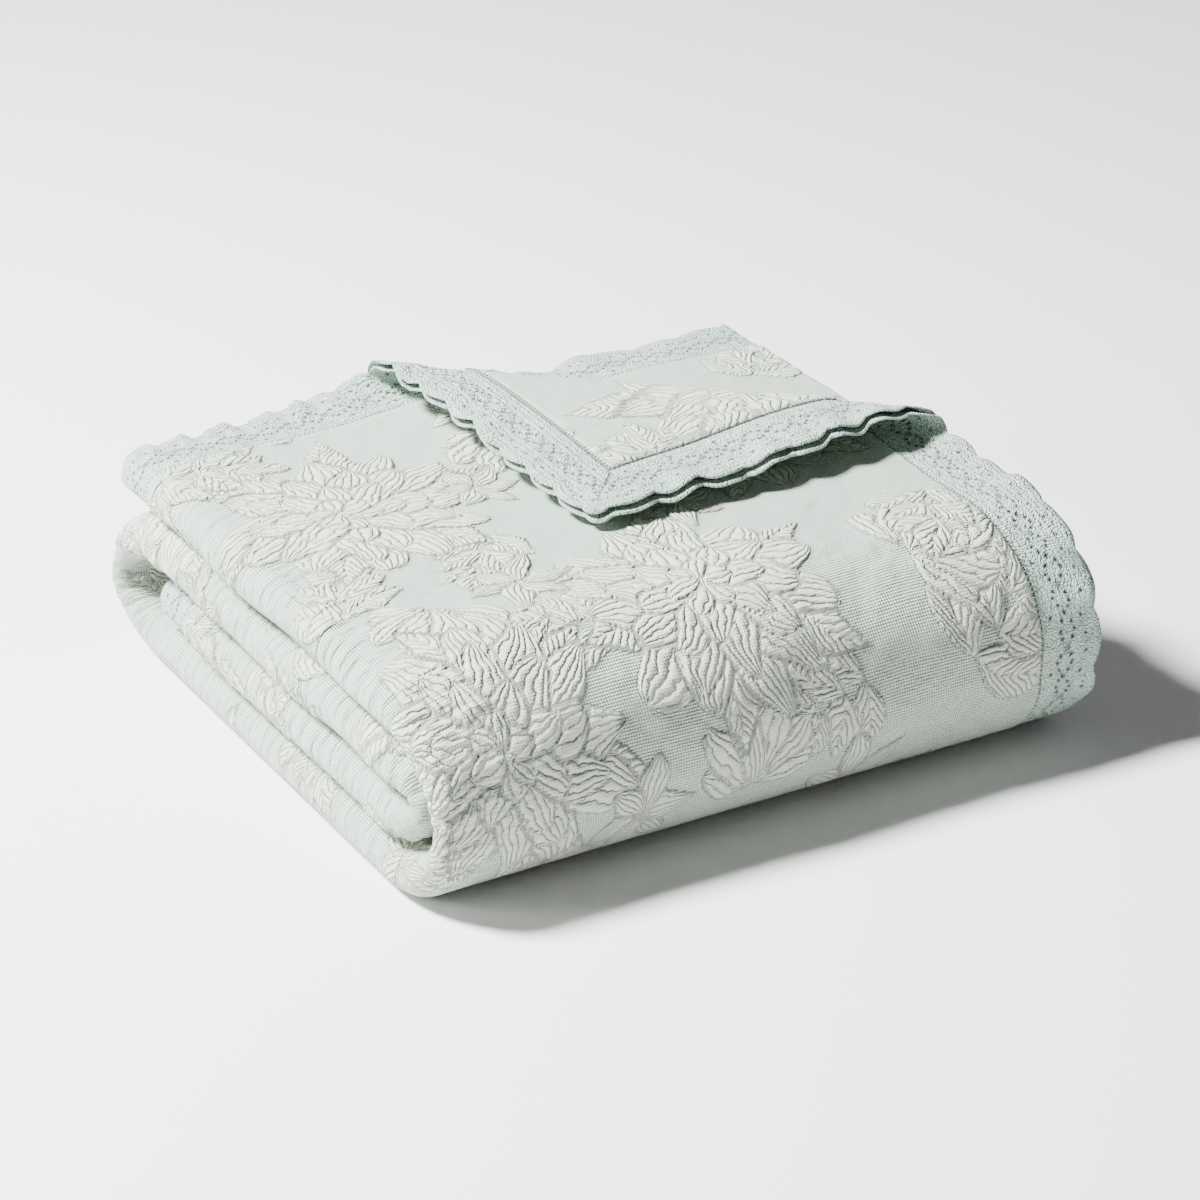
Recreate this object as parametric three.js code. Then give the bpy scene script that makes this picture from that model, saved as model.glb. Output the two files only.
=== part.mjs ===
// A quilted bedspread with a lace border, folded up as it is put away or shown in a shop.
//
// The flat cut is folded in four across, which makes a long strip of four layers with its folds on
// the left and both long lace edges on the right. The strip is then wrapped lengthwise into four
// passes that lie on each other. At the back right the two upper layers of the top pass are turned
// back, so that their lace corners lie on the top.
//
// Millimetres, +Z up, +X to the right, +Y to the back. The origin is on the underside.
// "across" and "along" are places on the flat cut, measured from its lace corner at the turned corner.

import * as THREE from "three";

// The cloth and its border
const clothThickness = 4;
const laceThickness = 2;
const laceWidth = 52;
const scallopLength = 40;
const scallopDepth = 5;
const seamGap = 0.8;
const quiltRise = 1.2;

// Places of the folded stack
const leftRim = -280;
const rightEdge = 294;
const rightFold = 290;
const secondLayerEdge = 289;
const backEdge = 268;
const innerEndEdge = 209;

// The four passes of the strip, in the order in which the cloth runs through them: the height of
// the strip's middle and the pitch of its layers, at the left folds and at the right, and how far
// the left folds are drawn in
const passes = [
  { name: "top", drawnIn: 4, left: { level: 158, pitch: 12 }, right: { level: 170, pitch: 5.6 } },
  { name: "bottom", drawnIn: 5, left: { level: 21, pitch: 12.6 }, right: { level: 21.6, pitch: 13 } },
  { name: "upper", drawnIn: 0, left: { level: 113, pitch: 12.4 }, right: { level: 124, pitch: 13 } },
  { name: "lower", drawnIn: 2, left: { level: 67, pitch: 12.4 }, right: { level: 74, pitch: 13 } },
];
// The half turn after each pass but the last: where it starts and ends, how far it bulges, and how
// far its left folds are drawn in besides
const turns = [
  { name: "front wrap", start: -166, end: -187, reach: -77, drawnIn: 8 },
  { name: "back turn", start: 232, end: 222, reach: 56, drawnIn: -8 },
  { name: "inner turn", start: -184, end: -184, reach: -44, drawnIn: 8 },
];
// In a turn the layers are pressed together
const tightPitch = 4.6;

// The turned-back corner: its fold line meets the back edge and the right edge at these places
const foldMeetsBackX = -64;
const foldMeetsRightY = -72;
const foldBow = 14;
const turnedStretch = 1.09;
// How the sheet leans along its way over that fold: distance past the fold line, and angle. The fold
// is tight in its middle and rounder at its two ends.
const rollShapes = {
  middle: [
    { past: -100, lean: 0 },
    { past: -50, lean: 4 },
    { past: -12, lean: 9 },
    { past: -6, lean: 22 },
    { past: 1, lean: 90 },
    { past: 9, lean: 165 },
    { past: 30, lean: 181 },
    { past: 90, lean: 184 },
    { past: 160, lean: 183 },
    { past: 220, lean: 180 },
    { past: 320, lean: 180 },
  ],
  ends: [
    { past: -100, lean: 0 },
    { past: -75, lean: 1 },
    { past: -45, lean: 12 },
    { past: -20, lean: 15 },
    { past: -8, lean: 36 },
    { past: 3, lean: 90 },
    { past: 11, lean: 143 },
    { past: 24, lean: 174 },
    { past: 72, lean: 186 },
    { past: 150, lean: 185 },
    { past: 230, lean: 183 },
    { past: 320, lean: 180 },
  ],
};
const turnedPitch = 5.5;
const rollStep = 1;

// Unevenness of the whole stack, over the flat underside
const flatBelow = 6;
const crown = 2.5;
const shoulderDrop = 8;
const shoulderTilt = 5;
const shoulderWidth = 80;
const sway = 3;
// How far the lace's free edge stands off, from just before the corner's fold to low on the front
const laceFlare = 6.5;
const flareStart = 338;

// Flowers of the quilting, repeated over the cut
const repeatAcross = 410;
const repeatAlong = 380;
const motifs = [
  { name: "blossom", across: 120, along: 110, radius: 92, petals: 6 },
  { name: "rose", across: 320, along: 290, radius: 84, petals: 5 },
  { name: "star", across: 330, along: 90, radius: 42, petals: 5 },
  { name: "sprig", across: 110, along: 300, radius: 46, petals: 3 },
];

const mix = (a, b, share) => a + (b - a) * share;
const clamp = (value, low, high) => Math.min(high, Math.max(low, value));
const ease = (value) => {
  const share = clamp(value, 0, 1);
  return share * share * (3 - 2 * share);
};

// Fold across: the strip's section

const halfCloth = clothThickness / 2;
const meanPitch = 12.5;
const layerStart = leftRim + 1.5 * meanPitch + halfCloth;
const layerEnd = rightFold - 0.5 * meanPitch - halfCloth;

// The parts of the section, from the free edge of the top layer to that of the second one.
// level, centre and radius are in pitches; face is 1 where the quilted face looks away from the
// middle of an arc, or up.
const sections = [
  { name: "first", kind: "layer", level: 1.5, from: "first edge", to: "left", face: 1,
    length: rightEdge - layerStart },
  { name: "outer fold", kind: "fold", at: "left", centre: 0, radius: 1.5, start: 90, turn: 180, face: 1,
    length: Math.PI * 1.5 * meanPitch },
  { name: "fourth", kind: "layer", level: -1.5, from: "left", to: "right", face: -1,
    length: layerEnd - layerStart },
  { name: "right fold", kind: "fold", at: "right", centre: -1, radius: 0.5, start: -90, turn: 180, face: 1,
    length: Math.PI * 0.5 * meanPitch },
  { name: "third", kind: "layer", level: -0.5, from: "right", to: "left", face: 1,
    length: layerEnd - layerStart },
  { name: "inner fold", kind: "fold", at: "left", centre: 0, radius: 0.5, start: 270, turn: -180, face: -1,
    length: Math.PI * 0.5 * meanPitch },
  { name: "second", kind: "layer", level: 0.5, from: "left", to: "second edge", face: -1,
    length: secondLayerEdge - layerStart },
];
let cutWidth = 0;
for (const section of sections) {
  section.begin = cutWidth;
  cutWidth += section.length;
}
const sectionNamed = (name) => sections.find((section) => section.name === name);

function sectionAt(across) {
  const section = sections.findLast((one) => across >= one.begin) ?? sections[0];
  return { section, share: (across - section.begin) / section.length };
}

// How far a place across lies from the left folds to the right, with most of the change near the left
function sideShare(across) {
  const { section, share } = sectionAt(across);
  const ends = { left: 0, right: 1, "first edge": 1, "second edge": 1 };
  const side = section.kind === "fold" ? ends[section.at] : mix(ends[section.from], ends[section.to], share);
  return 1 - (1 - side) ** 2;
}

// Place in the strip's section, x and height over its middle, and the direction that the face looks in
function acrossStrip(across, strip) {
  const { section, share } = sectionAt(across);
  const places = {
    left: leftRim + strip.inset + 1.5 * strip.pitch + halfCloth,
    right: rightFold - strip.bent * 3 - 0.5 * strip.pitch - halfCloth,
    "first edge": rightEdge,
    "second edge": secondLayerEdge,
  };
  if (section.kind === "layer")
    return {
      section,
      x: mix(places[section.from], places[section.to], share),
      height: section.level * strip.pitch,
      faceX: 0,
      faceHeight: section.face,
    };
  const angle = THREE.MathUtils.degToRad(section.start + section.turn * share);
  const radius = section.radius * strip.pitch;
  return {
    section,
    x: places[section.at] + radius * Math.cos(angle),
    height: section.centre * strip.pitch + radius * Math.sin(angle),
    faceX: section.face * Math.cos(angle),
    faceHeight: section.face * Math.sin(angle),
  };
}

// Wrap along: the strip's way through the stack

const arcSteps = 60;

function passAt(pass, side) {
  return {
    level: mix(pass.left.level, pass.right.level, side),
    pitch: mix(pass.left.pitch, pass.right.pitch, side),
  };
}

// The half ellipse of a turn, drawn forwards a little towards its end
function turnAt(turn, above, below, angle) {
  const rise = (above - below) / 2;
  const share = (1 - Math.cos(angle)) / 2;
  return {
    y: mix(turn.start, turn.end, share) + turn.reach * Math.sin(angle),
    z: (above + below) / 2 + rise * Math.cos(angle),
    tangentY: ((turn.end - turn.start) / 2) * Math.sin(angle) + turn.reach * Math.cos(angle),
    tangentZ: -rise * Math.sin(angle),
  };
}

function turnSpan(turn, before, after) {
  const lengths = [0];
  for (let step = 1; step <= arcSteps; step++) {
    const angle = (Math.PI * (step - 0.5)) / arcSteps;
    const { tangentY, tangentZ } = turnAt(turn, passAt(before, 0.5).level, passAt(after, 0.5).level, angle);
    lengths.push(lengths[step - 1] + (Math.hypot(tangentY, tangentZ) * Math.PI) / arcSteps);
  }
  return { kind: "turn", name: turn.name, turn, before, after, lengths, length: lengths[arcSteps] };
}

function stripWay() {
  const spans = [];
  let y = backEdge;
  passes.forEach((pass, index) => {
    const turn = turns[index];
    const end = turn ? turn.start : innerEndEdge;
    const length = Math.abs(end - y);
    spans.push({ kind: "pass", name: pass.name, pass, y, side: Math.sign(end - y), length });
    if (turn) spans.push(turnSpan(turn, pass, passes[index + 1]));
    y = turn?.end;
  });
  let begin = 0;
  for (const span of spans) {
    span.begin = begin;
    begin += span.length;
  }
  return spans;
}

const way = stripWay();
const cutLength = way.at(-1).begin + way.at(-1).length;
const wayNamed = (name) => way.find((span) => span.name === name);

function alongStrip(along, side) {
  const span = way.findLast((one) => along >= one.begin) ?? way[0];
  const past = along - span.begin;
  if (span.kind === "pass") {
    const { level, pitch } = passAt(span.pass, side);
    const straight = { normalY: 0, normalZ: -span.side, inset: span.pass.drawnIn, bent: 0 };
    return { span, y: span.y + span.side * past, z: level, pitch, ...straight };
  }
  const step = clamp(span.lengths.findLastIndex((length) => past >= length), 0, arcSteps - 1);
  const share = (past - span.lengths[step]) / (span.lengths[step + 1] - span.lengths[step]);
  const angle = (Math.PI * (step + share)) / arcSteps;
  const [before, after] = [passAt(span.before, side), passAt(span.after, side)];
  const { y, z, tangentY, tangentZ } = turnAt(span.turn, before.level, after.level, angle);
  const speed = Math.hypot(tangentY, tangentZ);
  const bent = Math.sin(angle) ** 2;
  const passed = (1 - Math.cos(angle)) / 2;
  return {
    span,
    y,
    z,
    normalY: tangentZ / speed,
    normalZ: -tangentY / speed,
    pitch: mix(mix(before.pitch, after.pitch, passed), tightPitch, bent),
    inset: mix(span.before.drawnIn, span.after.drawnIn, passed) + span.turn.drawnIn * bent,
    bent,
  };
}

// The turned-back corner

const foldAlong = new THREE.Vector2(rightEdge - foldMeetsBackX, foldMeetsRightY - backEdge).normalize();
const foldOut = new THREE.Vector2(-foldAlong.y, foldAlong.x);
const foldLength = Math.hypot(rightEdge - foldMeetsBackX, foldMeetsRightY - backEdge);
const topLayerZ = passes[0].right.level + 1.5 * passes[0].right.pitch;

// How far a place lies along the fold line, from 0 at the back edge to 1 at the right edge
function shareOfFold(x, y) {
  return clamp(((x - foldMeetsBackX) * foldAlong.x + (y - backEdge) * foldAlong.y) / foldLength, 0, 1);
}

// How far it lies past the fold line, which bows out in its middle
function pastFold(x, y) {
  const share = shareOfFold(x, y);
  const bow = foldBow * 4 * share * (1 - share);
  return (x - foldMeetsBackX) * foldOut.x + (y - backEdge) * foldOut.y - bow;
}

function rollPoints(shape) {
  const points = [];
  let out = shape[0].past;
  let up = 0;
  for (let past = shape[0].past; past <= shape.at(-1).past; past += rollStep) {
    const row = Math.min(shape.findLastIndex((one) => past >= one.past), shape.length - 2);
    const [a, b] = [shape[row], shape[row + 1]];
    const lean = THREE.MathUtils.degToRad(mix(a.lean, b.lean, ease((past - a.past) / (b.past - a.past))));
    points.push({ out, up, lean });
    const stride = rollStep * (past > 0 ? turnedStretch : 1);
    out += Math.cos(lean) * stride;
    up += Math.sin(lean) * stride;
  }
  return points;
}
const middleRoll = rollPoints(rollShapes.middle);
const endRoll = rollPoints(rollShapes.ends);

// Moves a point of the two upper layers of the top pass over the fold. height is its place over the
// first layer's middle, and pitch the distance between the two layers.
function turnBack(x, y, z, height, pitch) {
  const past = pastFold(x, y);
  const place = (past - rollShapes.middle[0].past) / rollStep;
  if (place <= 0) return new THREE.Vector3(x, y, z + height);
  const closer = ease((place * rollStep) / 80);
  const layers = Math.round(height / pitch);
  const near = height + layers * (mix(pitch, turnedPitch, closer) - pitch);
  const row = clamp(Math.floor(place), 0, middleRoll.length - 2);
  const ending = (2 * shareOfFold(x, y) - 1) ** 2;
  const at = (name) => {
    const [before, after] = [row, row + 1].map((one) => mix(middleRoll[one][name], endRoll[one][name], ending));
    return mix(before, after, place - row);
  };
  const lean = at("lean");
  const out = at("out") - near * Math.sin(lean);
  const up = at("up") + near * Math.cos(lean);
  return new THREE.Vector3(x + foldOut.x * (out - past), y + foldOut.y * (out - past), z + up);
}

// The whole stack leans and swells a little; the underside stays flat
function settle(point) {
  const { x, y, z } = point;
  const share = Math.max(0, z - flatBelow) / (topLayerZ - flatBelow);
  const swell = crown * Math.sin(x / 95 + 0.6) * Math.cos(y / 120 - 0.4);
  const drop = shoulderDrop - (shoulderTilt * y) / backEdge;
  const shoulder = drop * ease((leftRim + shoulderWidth - x) / shoulderWidth);
  return new THREE.Vector3(x + sway * Math.sin(z / 50), y, z + (swell - shoulder) * share);
}

// From the flat cut to the folded place; lift is the distance from the cloth's middle towards its face
function folded(across, along, lift) {
  const strip = alongStrip(along, sideShare(across));
  const place = acrossStrip(across, strip);
  const x = place.x + lift * place.faceX;
  const height = place.height + lift * place.faceHeight;
  const turned = strip.span.name === "top" && ["first", "second"].includes(place.section.name);
  const firstHeight = 1.5 * strip.pitch;
  const point = turned
    ? turnBack(x, strip.y, strip.z + firstHeight, height - firstHeight, strip.pitch)
    : new THREE.Vector3(x, strip.y + height * strip.normalY, strip.z + height * strip.normalZ);
  return settle(point);
}

// The quilting's flowers as low swellings of the face
function flowerRise(across, along) {
  const u = THREE.MathUtils.euclideanModulo(across, repeatAcross);
  const v = THREE.MathUtils.euclideanModulo(along, repeatAlong);
  let rise = 0;
  for (const motif of motifs) {
    const [du, dv] = [u - motif.across, v - motif.along];
    const reach = motif.radius * (0.85 + 0.15 * Math.cos(motif.petals * Math.atan2(dv, du)));
    rise = Math.max(rise, ease((1 - Math.hypot(du, dv) / reach) * 3));
  }
  return rise * quiltRise;
}

function quiltedFace(across, along) {
  const strip = alongStrip(along, sideShare(across));
  const outermost = ["first", "outer fold"].includes(sectionAt(across).section.name);
  const free = outermost ? ease((strip.z - 30) / 30) : 1 - strip.bent;
  return halfCloth + free * flowerRise(across, along);
}

// Flat meshes: points { across, along } and triangles of three point numbers

function gridMesh(columns, rows, place) {
  const points = [];
  const triangles = [];
  rows.forEach((row, j) => columns.forEach((column, i) => {
    points.push(place(column, row));
    if (i === 0 || j === 0) return;
    const corner = points.length - 1;
    const [left, below] = [corner - 1, corner - columns.length];
    triangles.push([below - 1, below, corner], [below - 1, corner, left]);
  }));
  return { points, triangles };
}

// Points at one place become one point, and triangles that this closes up are left out
function welded(mesh) {
  const places = new Map();
  const kept = mesh.points.map((point, number) => {
    const key = `${point.across.toFixed(2)} ${point.along.toFixed(2)}`;
    if (!places.has(key)) places.set(key, number);
    return places.get(key);
  });
  const triangles = mesh.triangles
    .map((triangle) => triangle.map((number) => kept[number]))
    .filter(([a, b, c]) => a !== b && b !== c && c !== a);
  return { points: mesh.points, triangles };
}

// Cuts every edge that the rule gives a share of, and the triangles on it, so that they still meet
function cutEdges(mesh, rule) {
  const { points } = mesh;
  const cuts = new Map();
  const cutOn = (a, b) => {
    const [low, high] = a < b ? [a, b] : [b, a];
    const key = low * 1e6 + high;
    if (!cuts.has(key)) {
      const share = rule(points[low], points[high]);
      if (share > 0) {
        const across = mix(points[low].across, points[high].across, share);
        const along = mix(points[low].along, points[high].along, share);
        points.push({ across, along });
        cuts.set(key, points.length - 1);
      } else cuts.set(key, null);
    }
    return cuts.get(key);
  };
  const triangles = [];
  for (const [a, b, c] of mesh.triangles) {
    const [ab, bc, ca] = [cutOn(a, b), cutOn(b, c), cutOn(c, a)];
    const many = [ab, bc, ca].filter((cut) => cut !== null).length;
    if (many === 0) triangles.push([a, b, c]);
    else if (many === 3) triangles.push([a, ab, ca], [ab, b, bc], [ca, bc, c], [ab, bc, ca]);
    else if (many === 1) {
      if (ab !== null) triangles.push([a, ab, c], [ab, b, c]);
      else if (bc !== null) triangles.push([b, bc, a], [bc, c, a]);
      else triangles.push([c, ca, b], [ca, a, b]);
    } else {
      if (ab === null) triangles.push([c, ca, bc], [ca, a, b], [ca, b, bc]);
      else if (bc === null) triangles.push([a, ab, ca], [ab, b, c], [ab, c, ca]);
      else triangles.push([b, bc, ab], [bc, c, a], [bc, a, ab]);
    }
  }
  return { points, triangles };
}

const isTurned = (point) =>
  point.along < wayNamed("top").length && ["first", "second"].includes(sectionAt(point.across).section.name);

function foldDistance(point) {
  const strip = alongStrip(point.along, sideShare(point.across));
  return pastFold(acrossStrip(point.across, strip).x, strip.y);
}

// Lines parallel to the corner's fold, close together where the sheet turns over
const foldLines = [-45, -9, -4, 0, 4, 8, 13, 32];
const onTheLine = 0.5;

function cutAtFold(mesh) {
  return foldLines.reduce(
    (cut, line) =>
      cutEdges(cut, (a, b) => {
        if (!isTurned(a) || !isTurned(b)) return 0;
        const [before, after] = [foldDistance(a) - line, foldDistance(b) - line];
        const clear = Math.min(Math.abs(before), Math.abs(after)) > onTheLine;
        return clear && before * after < 0 ? before / (before - after) : 0;
      }),
    mesh,
  );
}

// A closed solid: the face, the back and a rim of two triangles on each outer edge
function thickSheet(mesh, faceLift, backLift) {
  const { points, triangles } = mesh;
  const count = points.length;
  const positions = [];
  for (const lift of [faceLift, backLift])
    for (const point of points)
      positions.push(...folded(point.across, point.along, lift(point.across, point.along)).toArray());
  const index = [];
  const directed = new Set();
  for (const [a, b, c] of triangles) {
    index.push(a, b, c, a + count, c + count, b + count);
    for (const [from, to] of [[a, b], [b, c], [c, a]]) directed.add(from * 1e6 + to);
  }
  for (const key of directed) {
    const [from, to] = [Math.floor(key / 1e6), key % 1e6];
    if (!directed.has(to * 1e6 + from)) index.push(to, from, from + count, to, from + count, to + count);
  }
  const geometry = new THREE.BufferGeometry();
  geometry.setAttribute("position", new THREE.Float32BufferAttribute(positions, 3));
  geometry.setIndex(index);
  geometry.computeVertexNormals();
  return geometry;
}

// Lines that every mesh needs: the ends of layers and folds, passes and turns, and steps round them
function linesBetween(parts, counts, extra, low, high) {
  const lines = [low, high, ...extra];
  for (const part of parts) {
    const count = counts[part.name] ?? counts[part.kind];
    for (let step = 0; step <= count; step++) lines.push(part.begin + (part.length * step) / count);
  }
  const sorted = lines.filter((line) => line >= low && line <= high).sort((a, b) => a - b);
  return sorted.filter((line, i) => i === 0 || line - sorted[i - 1] > 0.1);
}

// The quilted face shows on the top and round the front, and there its facets are small
const foldSteps = { layer: 2, fold: 3, "outer fold": 4 };
const turnSteps = { pass: 2, turn: 1 };

const scallopsIn = (length) => Math.round(length / scallopLength);

// Places on one part of the cut, a number of scallops apart, at which cover and lace both have points
function scallopPlaces(wholeLength, apart, part) {
  const step = (apart * wholeLength) / scallopsIn(wholeLength);
  const places = Array.from({ length: Math.floor(wholeLength / step) + 1 }, (_, i) => i * step);
  return places.filter((place) => place > part.begin && place < part.begin + part.length);
}

function coverGeometry() {
  const shownAcross = [
    ...scallopPlaces(cutWidth, 1, sectionNamed("first")),
    ...scallopPlaces(cutWidth, 2, sectionNamed("second")),
  ];
  const shownAlong = [
    ...scallopPlaces(cutLength, 1, wayNamed("top")),
    ...turns.flatMap((turn) => scallopPlaces(cutLength, 0.5, wayNamed(turn.name))),
  ];
  const columns = linesBetween(sections, foldSteps, shownAcross, laceWidth, cutWidth - laceWidth);
  const rows = linesBetween(way, turnSteps, shownAlong, laceWidth, cutLength - laceWidth);
  const flat = gridMesh(columns, rows, (across, along) => ({ across, along }));
  return thickSheet(cutAtFold(flat), quiltedFace, () => -halfCloth);
}

// One strip of the border. Its length runs along one side of the cut, and its ends are mitred.
const laceReaches = [seamGap, laceWidth];

function laceGeometry({ side, steps, parts, wholeLength, place }) {
  const scallops = scallopsIn(wholeLength);
  const halves = Array.from({ length: scallops * 2 }, (_, i) => (i * wholeLength) / scallops / 2);
  const lines = linesBetween(parts, steps, halves, 0, wholeLength);
  const flat = gridMesh(lines, laceReaches, (line, reach) => {
    const start = laceWidth - reach + seamGap;
    const inner = clamp(line, start, wholeLength - start);
    const wave = Math.cos((2 * Math.PI * line * scallops) / wholeLength);
    const depth = reach === laceWidth ? scallopDepth * (0.5 - 0.5 * wave) : 0;
    return place(inner, laceWidth - reach + depth);
  });
  if (side < 0) flat.triangles.forEach((triangle) => triangle.reverse());
  const flare = side > 0 ? standOff : () => 0;
  return thickSheet(
    cutAtFold(welded(flat)),
    (across, along) => flare(across, along) + laceThickness / 2,
    (across, along) => flare(across, along) - laceThickness / 2,
  );
}

// The free edge of the first layer's lace stands off round the front
function standOff(across, along) {
  const outward = ease(1 - across / laceWidth);
  const wrap = wayNamed("front wrap");
  const round = ease((along - flareStart) / 70) * ease((wrap.begin + wrap.length * 0.9 - along) / 110);
  return laceFlare * outward * round;
}

const laceSteps = { ...foldSteps, ...turnSteps, layer: 1, pass: 1 };
const borders = [
  { name: "lace_first_side", side: 1, parts: way, wholeLength: cutLength,
    place: (line, inward) => ({ across: inward, along: line }) },
  { name: "lace_second_side", side: -1, parts: way, wholeLength: cutLength,
    place: (line, inward) => ({ across: cutWidth - inward, along: line }) },
  { name: "lace_outer_end", side: -1, parts: sections, wholeLength: cutWidth,
    place: (line, inward) => ({ across: line, along: inward }) },
  { name: "lace_inner_end", side: 1, parts: sections, wholeLength: cutWidth,
    place: (line, inward) => ({ across: line, along: cutLength - inward }) },
];

const clothMaterial = new THREE.MeshStandardMaterial({ color: 0xdfe5de, roughness: 0.95, metalness: 0 });
const laceMaterial = new THREE.MeshStandardMaterial({ color: 0xc9dbcf, roughness: 0.95, metalness: 0 });

function namedMesh(name, geometry, material) {
  const mesh = new THREE.Mesh(geometry, material);
  mesh.name = name;
  return mesh;
}

const bedspread = new THREE.Group();
bedspread.add(namedMesh("cover", coverGeometry(), clothMaterial));
for (const border of borders)
  bedspread.add(namedMesh(border.name, laceGeometry({ ...border, steps: laceSteps }), laceMaterial));

// The origin is on the underside, in the middle
const extent = new THREE.Box3().setFromObject(bedspread);
const middle = extent.getCenter(new THREE.Vector3());
for (const mesh of bedspread.children) mesh.geometry.translate(-middle.x, -middle.y, -extent.min.z);

export default bedspread;
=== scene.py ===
"""A quilted bedspread with a crocheted lace border, folded up with one corner turned back.

The cloth is worked out on its flat cut, where "across" and "along" are distances in millimetres
from the lace corner that is turned back, and one folding lays every point of the cut in its place.
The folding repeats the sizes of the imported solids, so that the cloth lies where they do.
"""

from __future__ import annotations

import logging
import math
from dataclasses import dataclass, field
from enum import Enum
from typing import Callable, Sequence

import bpy
import numpy as np
from mathutils import Matrix, Vector
from mathutils.geometry import delaunay_2d_cdt

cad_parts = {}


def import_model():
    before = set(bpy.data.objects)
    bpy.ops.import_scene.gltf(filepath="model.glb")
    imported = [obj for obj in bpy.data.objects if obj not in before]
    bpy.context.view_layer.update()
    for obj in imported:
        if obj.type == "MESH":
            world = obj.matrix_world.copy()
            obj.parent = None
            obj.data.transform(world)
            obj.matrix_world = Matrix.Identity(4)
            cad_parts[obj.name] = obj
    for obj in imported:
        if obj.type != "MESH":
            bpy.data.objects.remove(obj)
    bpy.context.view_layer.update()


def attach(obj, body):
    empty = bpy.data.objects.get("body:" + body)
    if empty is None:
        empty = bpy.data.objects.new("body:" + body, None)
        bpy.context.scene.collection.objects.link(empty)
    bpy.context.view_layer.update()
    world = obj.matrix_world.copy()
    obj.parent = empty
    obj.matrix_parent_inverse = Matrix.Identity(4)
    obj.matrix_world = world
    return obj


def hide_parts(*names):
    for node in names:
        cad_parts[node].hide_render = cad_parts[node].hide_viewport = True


log = logging.getLogger("bedspread")

MM = 0.001
Array = np.ndarray
Value = Array | float
Socket = bpy.types.NodeSocket
# How many pitches the outer and the inner layers lie off the strip's middle
OUTER_LAYER = 1.5
INNER_LAYER = 0.5


def mix(low: Value, high: Value, share: Value) -> Value:
    """Goes from low to high as share goes from 0 to 1."""
    return low + (high - low) * share


def ease(value: Value) -> Value:
    """A smooth step from 0 to 1."""
    share = np.clip(value, 0.0, 1.0)
    return share * share * (3.0 - 2.0 * share)


def nearest_repeat(value: Value, repeat: float) -> Value:
    """The same distance measured to the nearest of many evenly spaced places."""
    return (value + repeat / 2) % repeat - repeat / 2


class Kind(Enum):
    """What a stretch of the cut is once it is folded."""

    LAYER = "layer"
    FOLD = "fold"


class Rim(Enum):
    """Where a layer of the strip ends."""

    LEFT = "the left folds"
    RIGHT = "the right folds"
    FIRST = "the free edge of the first layer"
    SECOND = "the free edge of the second layer"


@dataclass(frozen=True)
class Pass:
    """One pass of the strip: the height of its middle and the pitch of its layers at both sides."""

    name: str
    drawn_in: float
    left_level: float
    left_pitch: float
    right_level: float
    right_pitch: float

    def level(self, side: Value) -> Value:
        """Height of the strip's middle, from the left folds at side 0 to the right at side 1."""
        return mix(self.left_level, self.right_level, side)

    def pitch(self, side: Value) -> Value:
        """Distance between two layers' middles."""
        return mix(self.left_pitch, self.right_pitch, side)


@dataclass(frozen=True)
class Turn:
    """A half turn of the strip: where it starts and ends, how far it bulges, and its left rim."""

    name: str
    start: float
    end: float
    reach: float
    drawn_in: float

    def at(self, above: Array, below: Array, angle: Array) -> tuple[Array, Array, Array, Array]:
        """Place and direction on the half ellipse.

        Args:
            above: height of the strip's middle where the turn starts.
            below: height of the strip's middle where the turn ends.
            angle: from 0 at the start to pi at the end.

        Returns:
            y, z and the two parts of the tangent.
        """
        rise = (above - below) / 2
        share = (1 - np.cos(angle)) / 2
        y = mix(self.start, self.end, share) + self.reach * np.sin(angle)
        z = (above + below) / 2 + rise * np.cos(angle)
        tangent_y = (self.end - self.start) / 2 * np.sin(angle) + self.reach * np.cos(angle)
        return y, z, tangent_y, -rise * np.sin(angle)


@dataclass
class Section:
    """One layer or fold of the strip's section, with its sizes in pitches."""

    name: str
    kind: Kind
    length: float
    face: int
    level: float = 0.0
    ends: tuple[Rim, Rim] | None = None
    at: Rim | None = None
    centre: float = 0.0
    radius: float = 0.0
    start: float = 0.0
    turn: float = 0.0
    begin: float = 0.0


@dataclass
class Span:
    """One pass or turn of the strip's way through the stack."""

    name: str
    length: float
    lies: Pass | None = None
    y: float = 0.0
    way: float = 0.0
    bend: Turn | None = None
    before: Pass | None = None
    after: Pass | None = None
    lengths: Array | None = None
    begin: float = 0.0


@dataclass
class Strip:
    """The strip of four layers at some places along it."""

    y: Array
    z: Array
    normal_y: Array
    normal_z: Array
    pitch: Array
    inset: Array
    bent: Array
    on_top: Array


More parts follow.
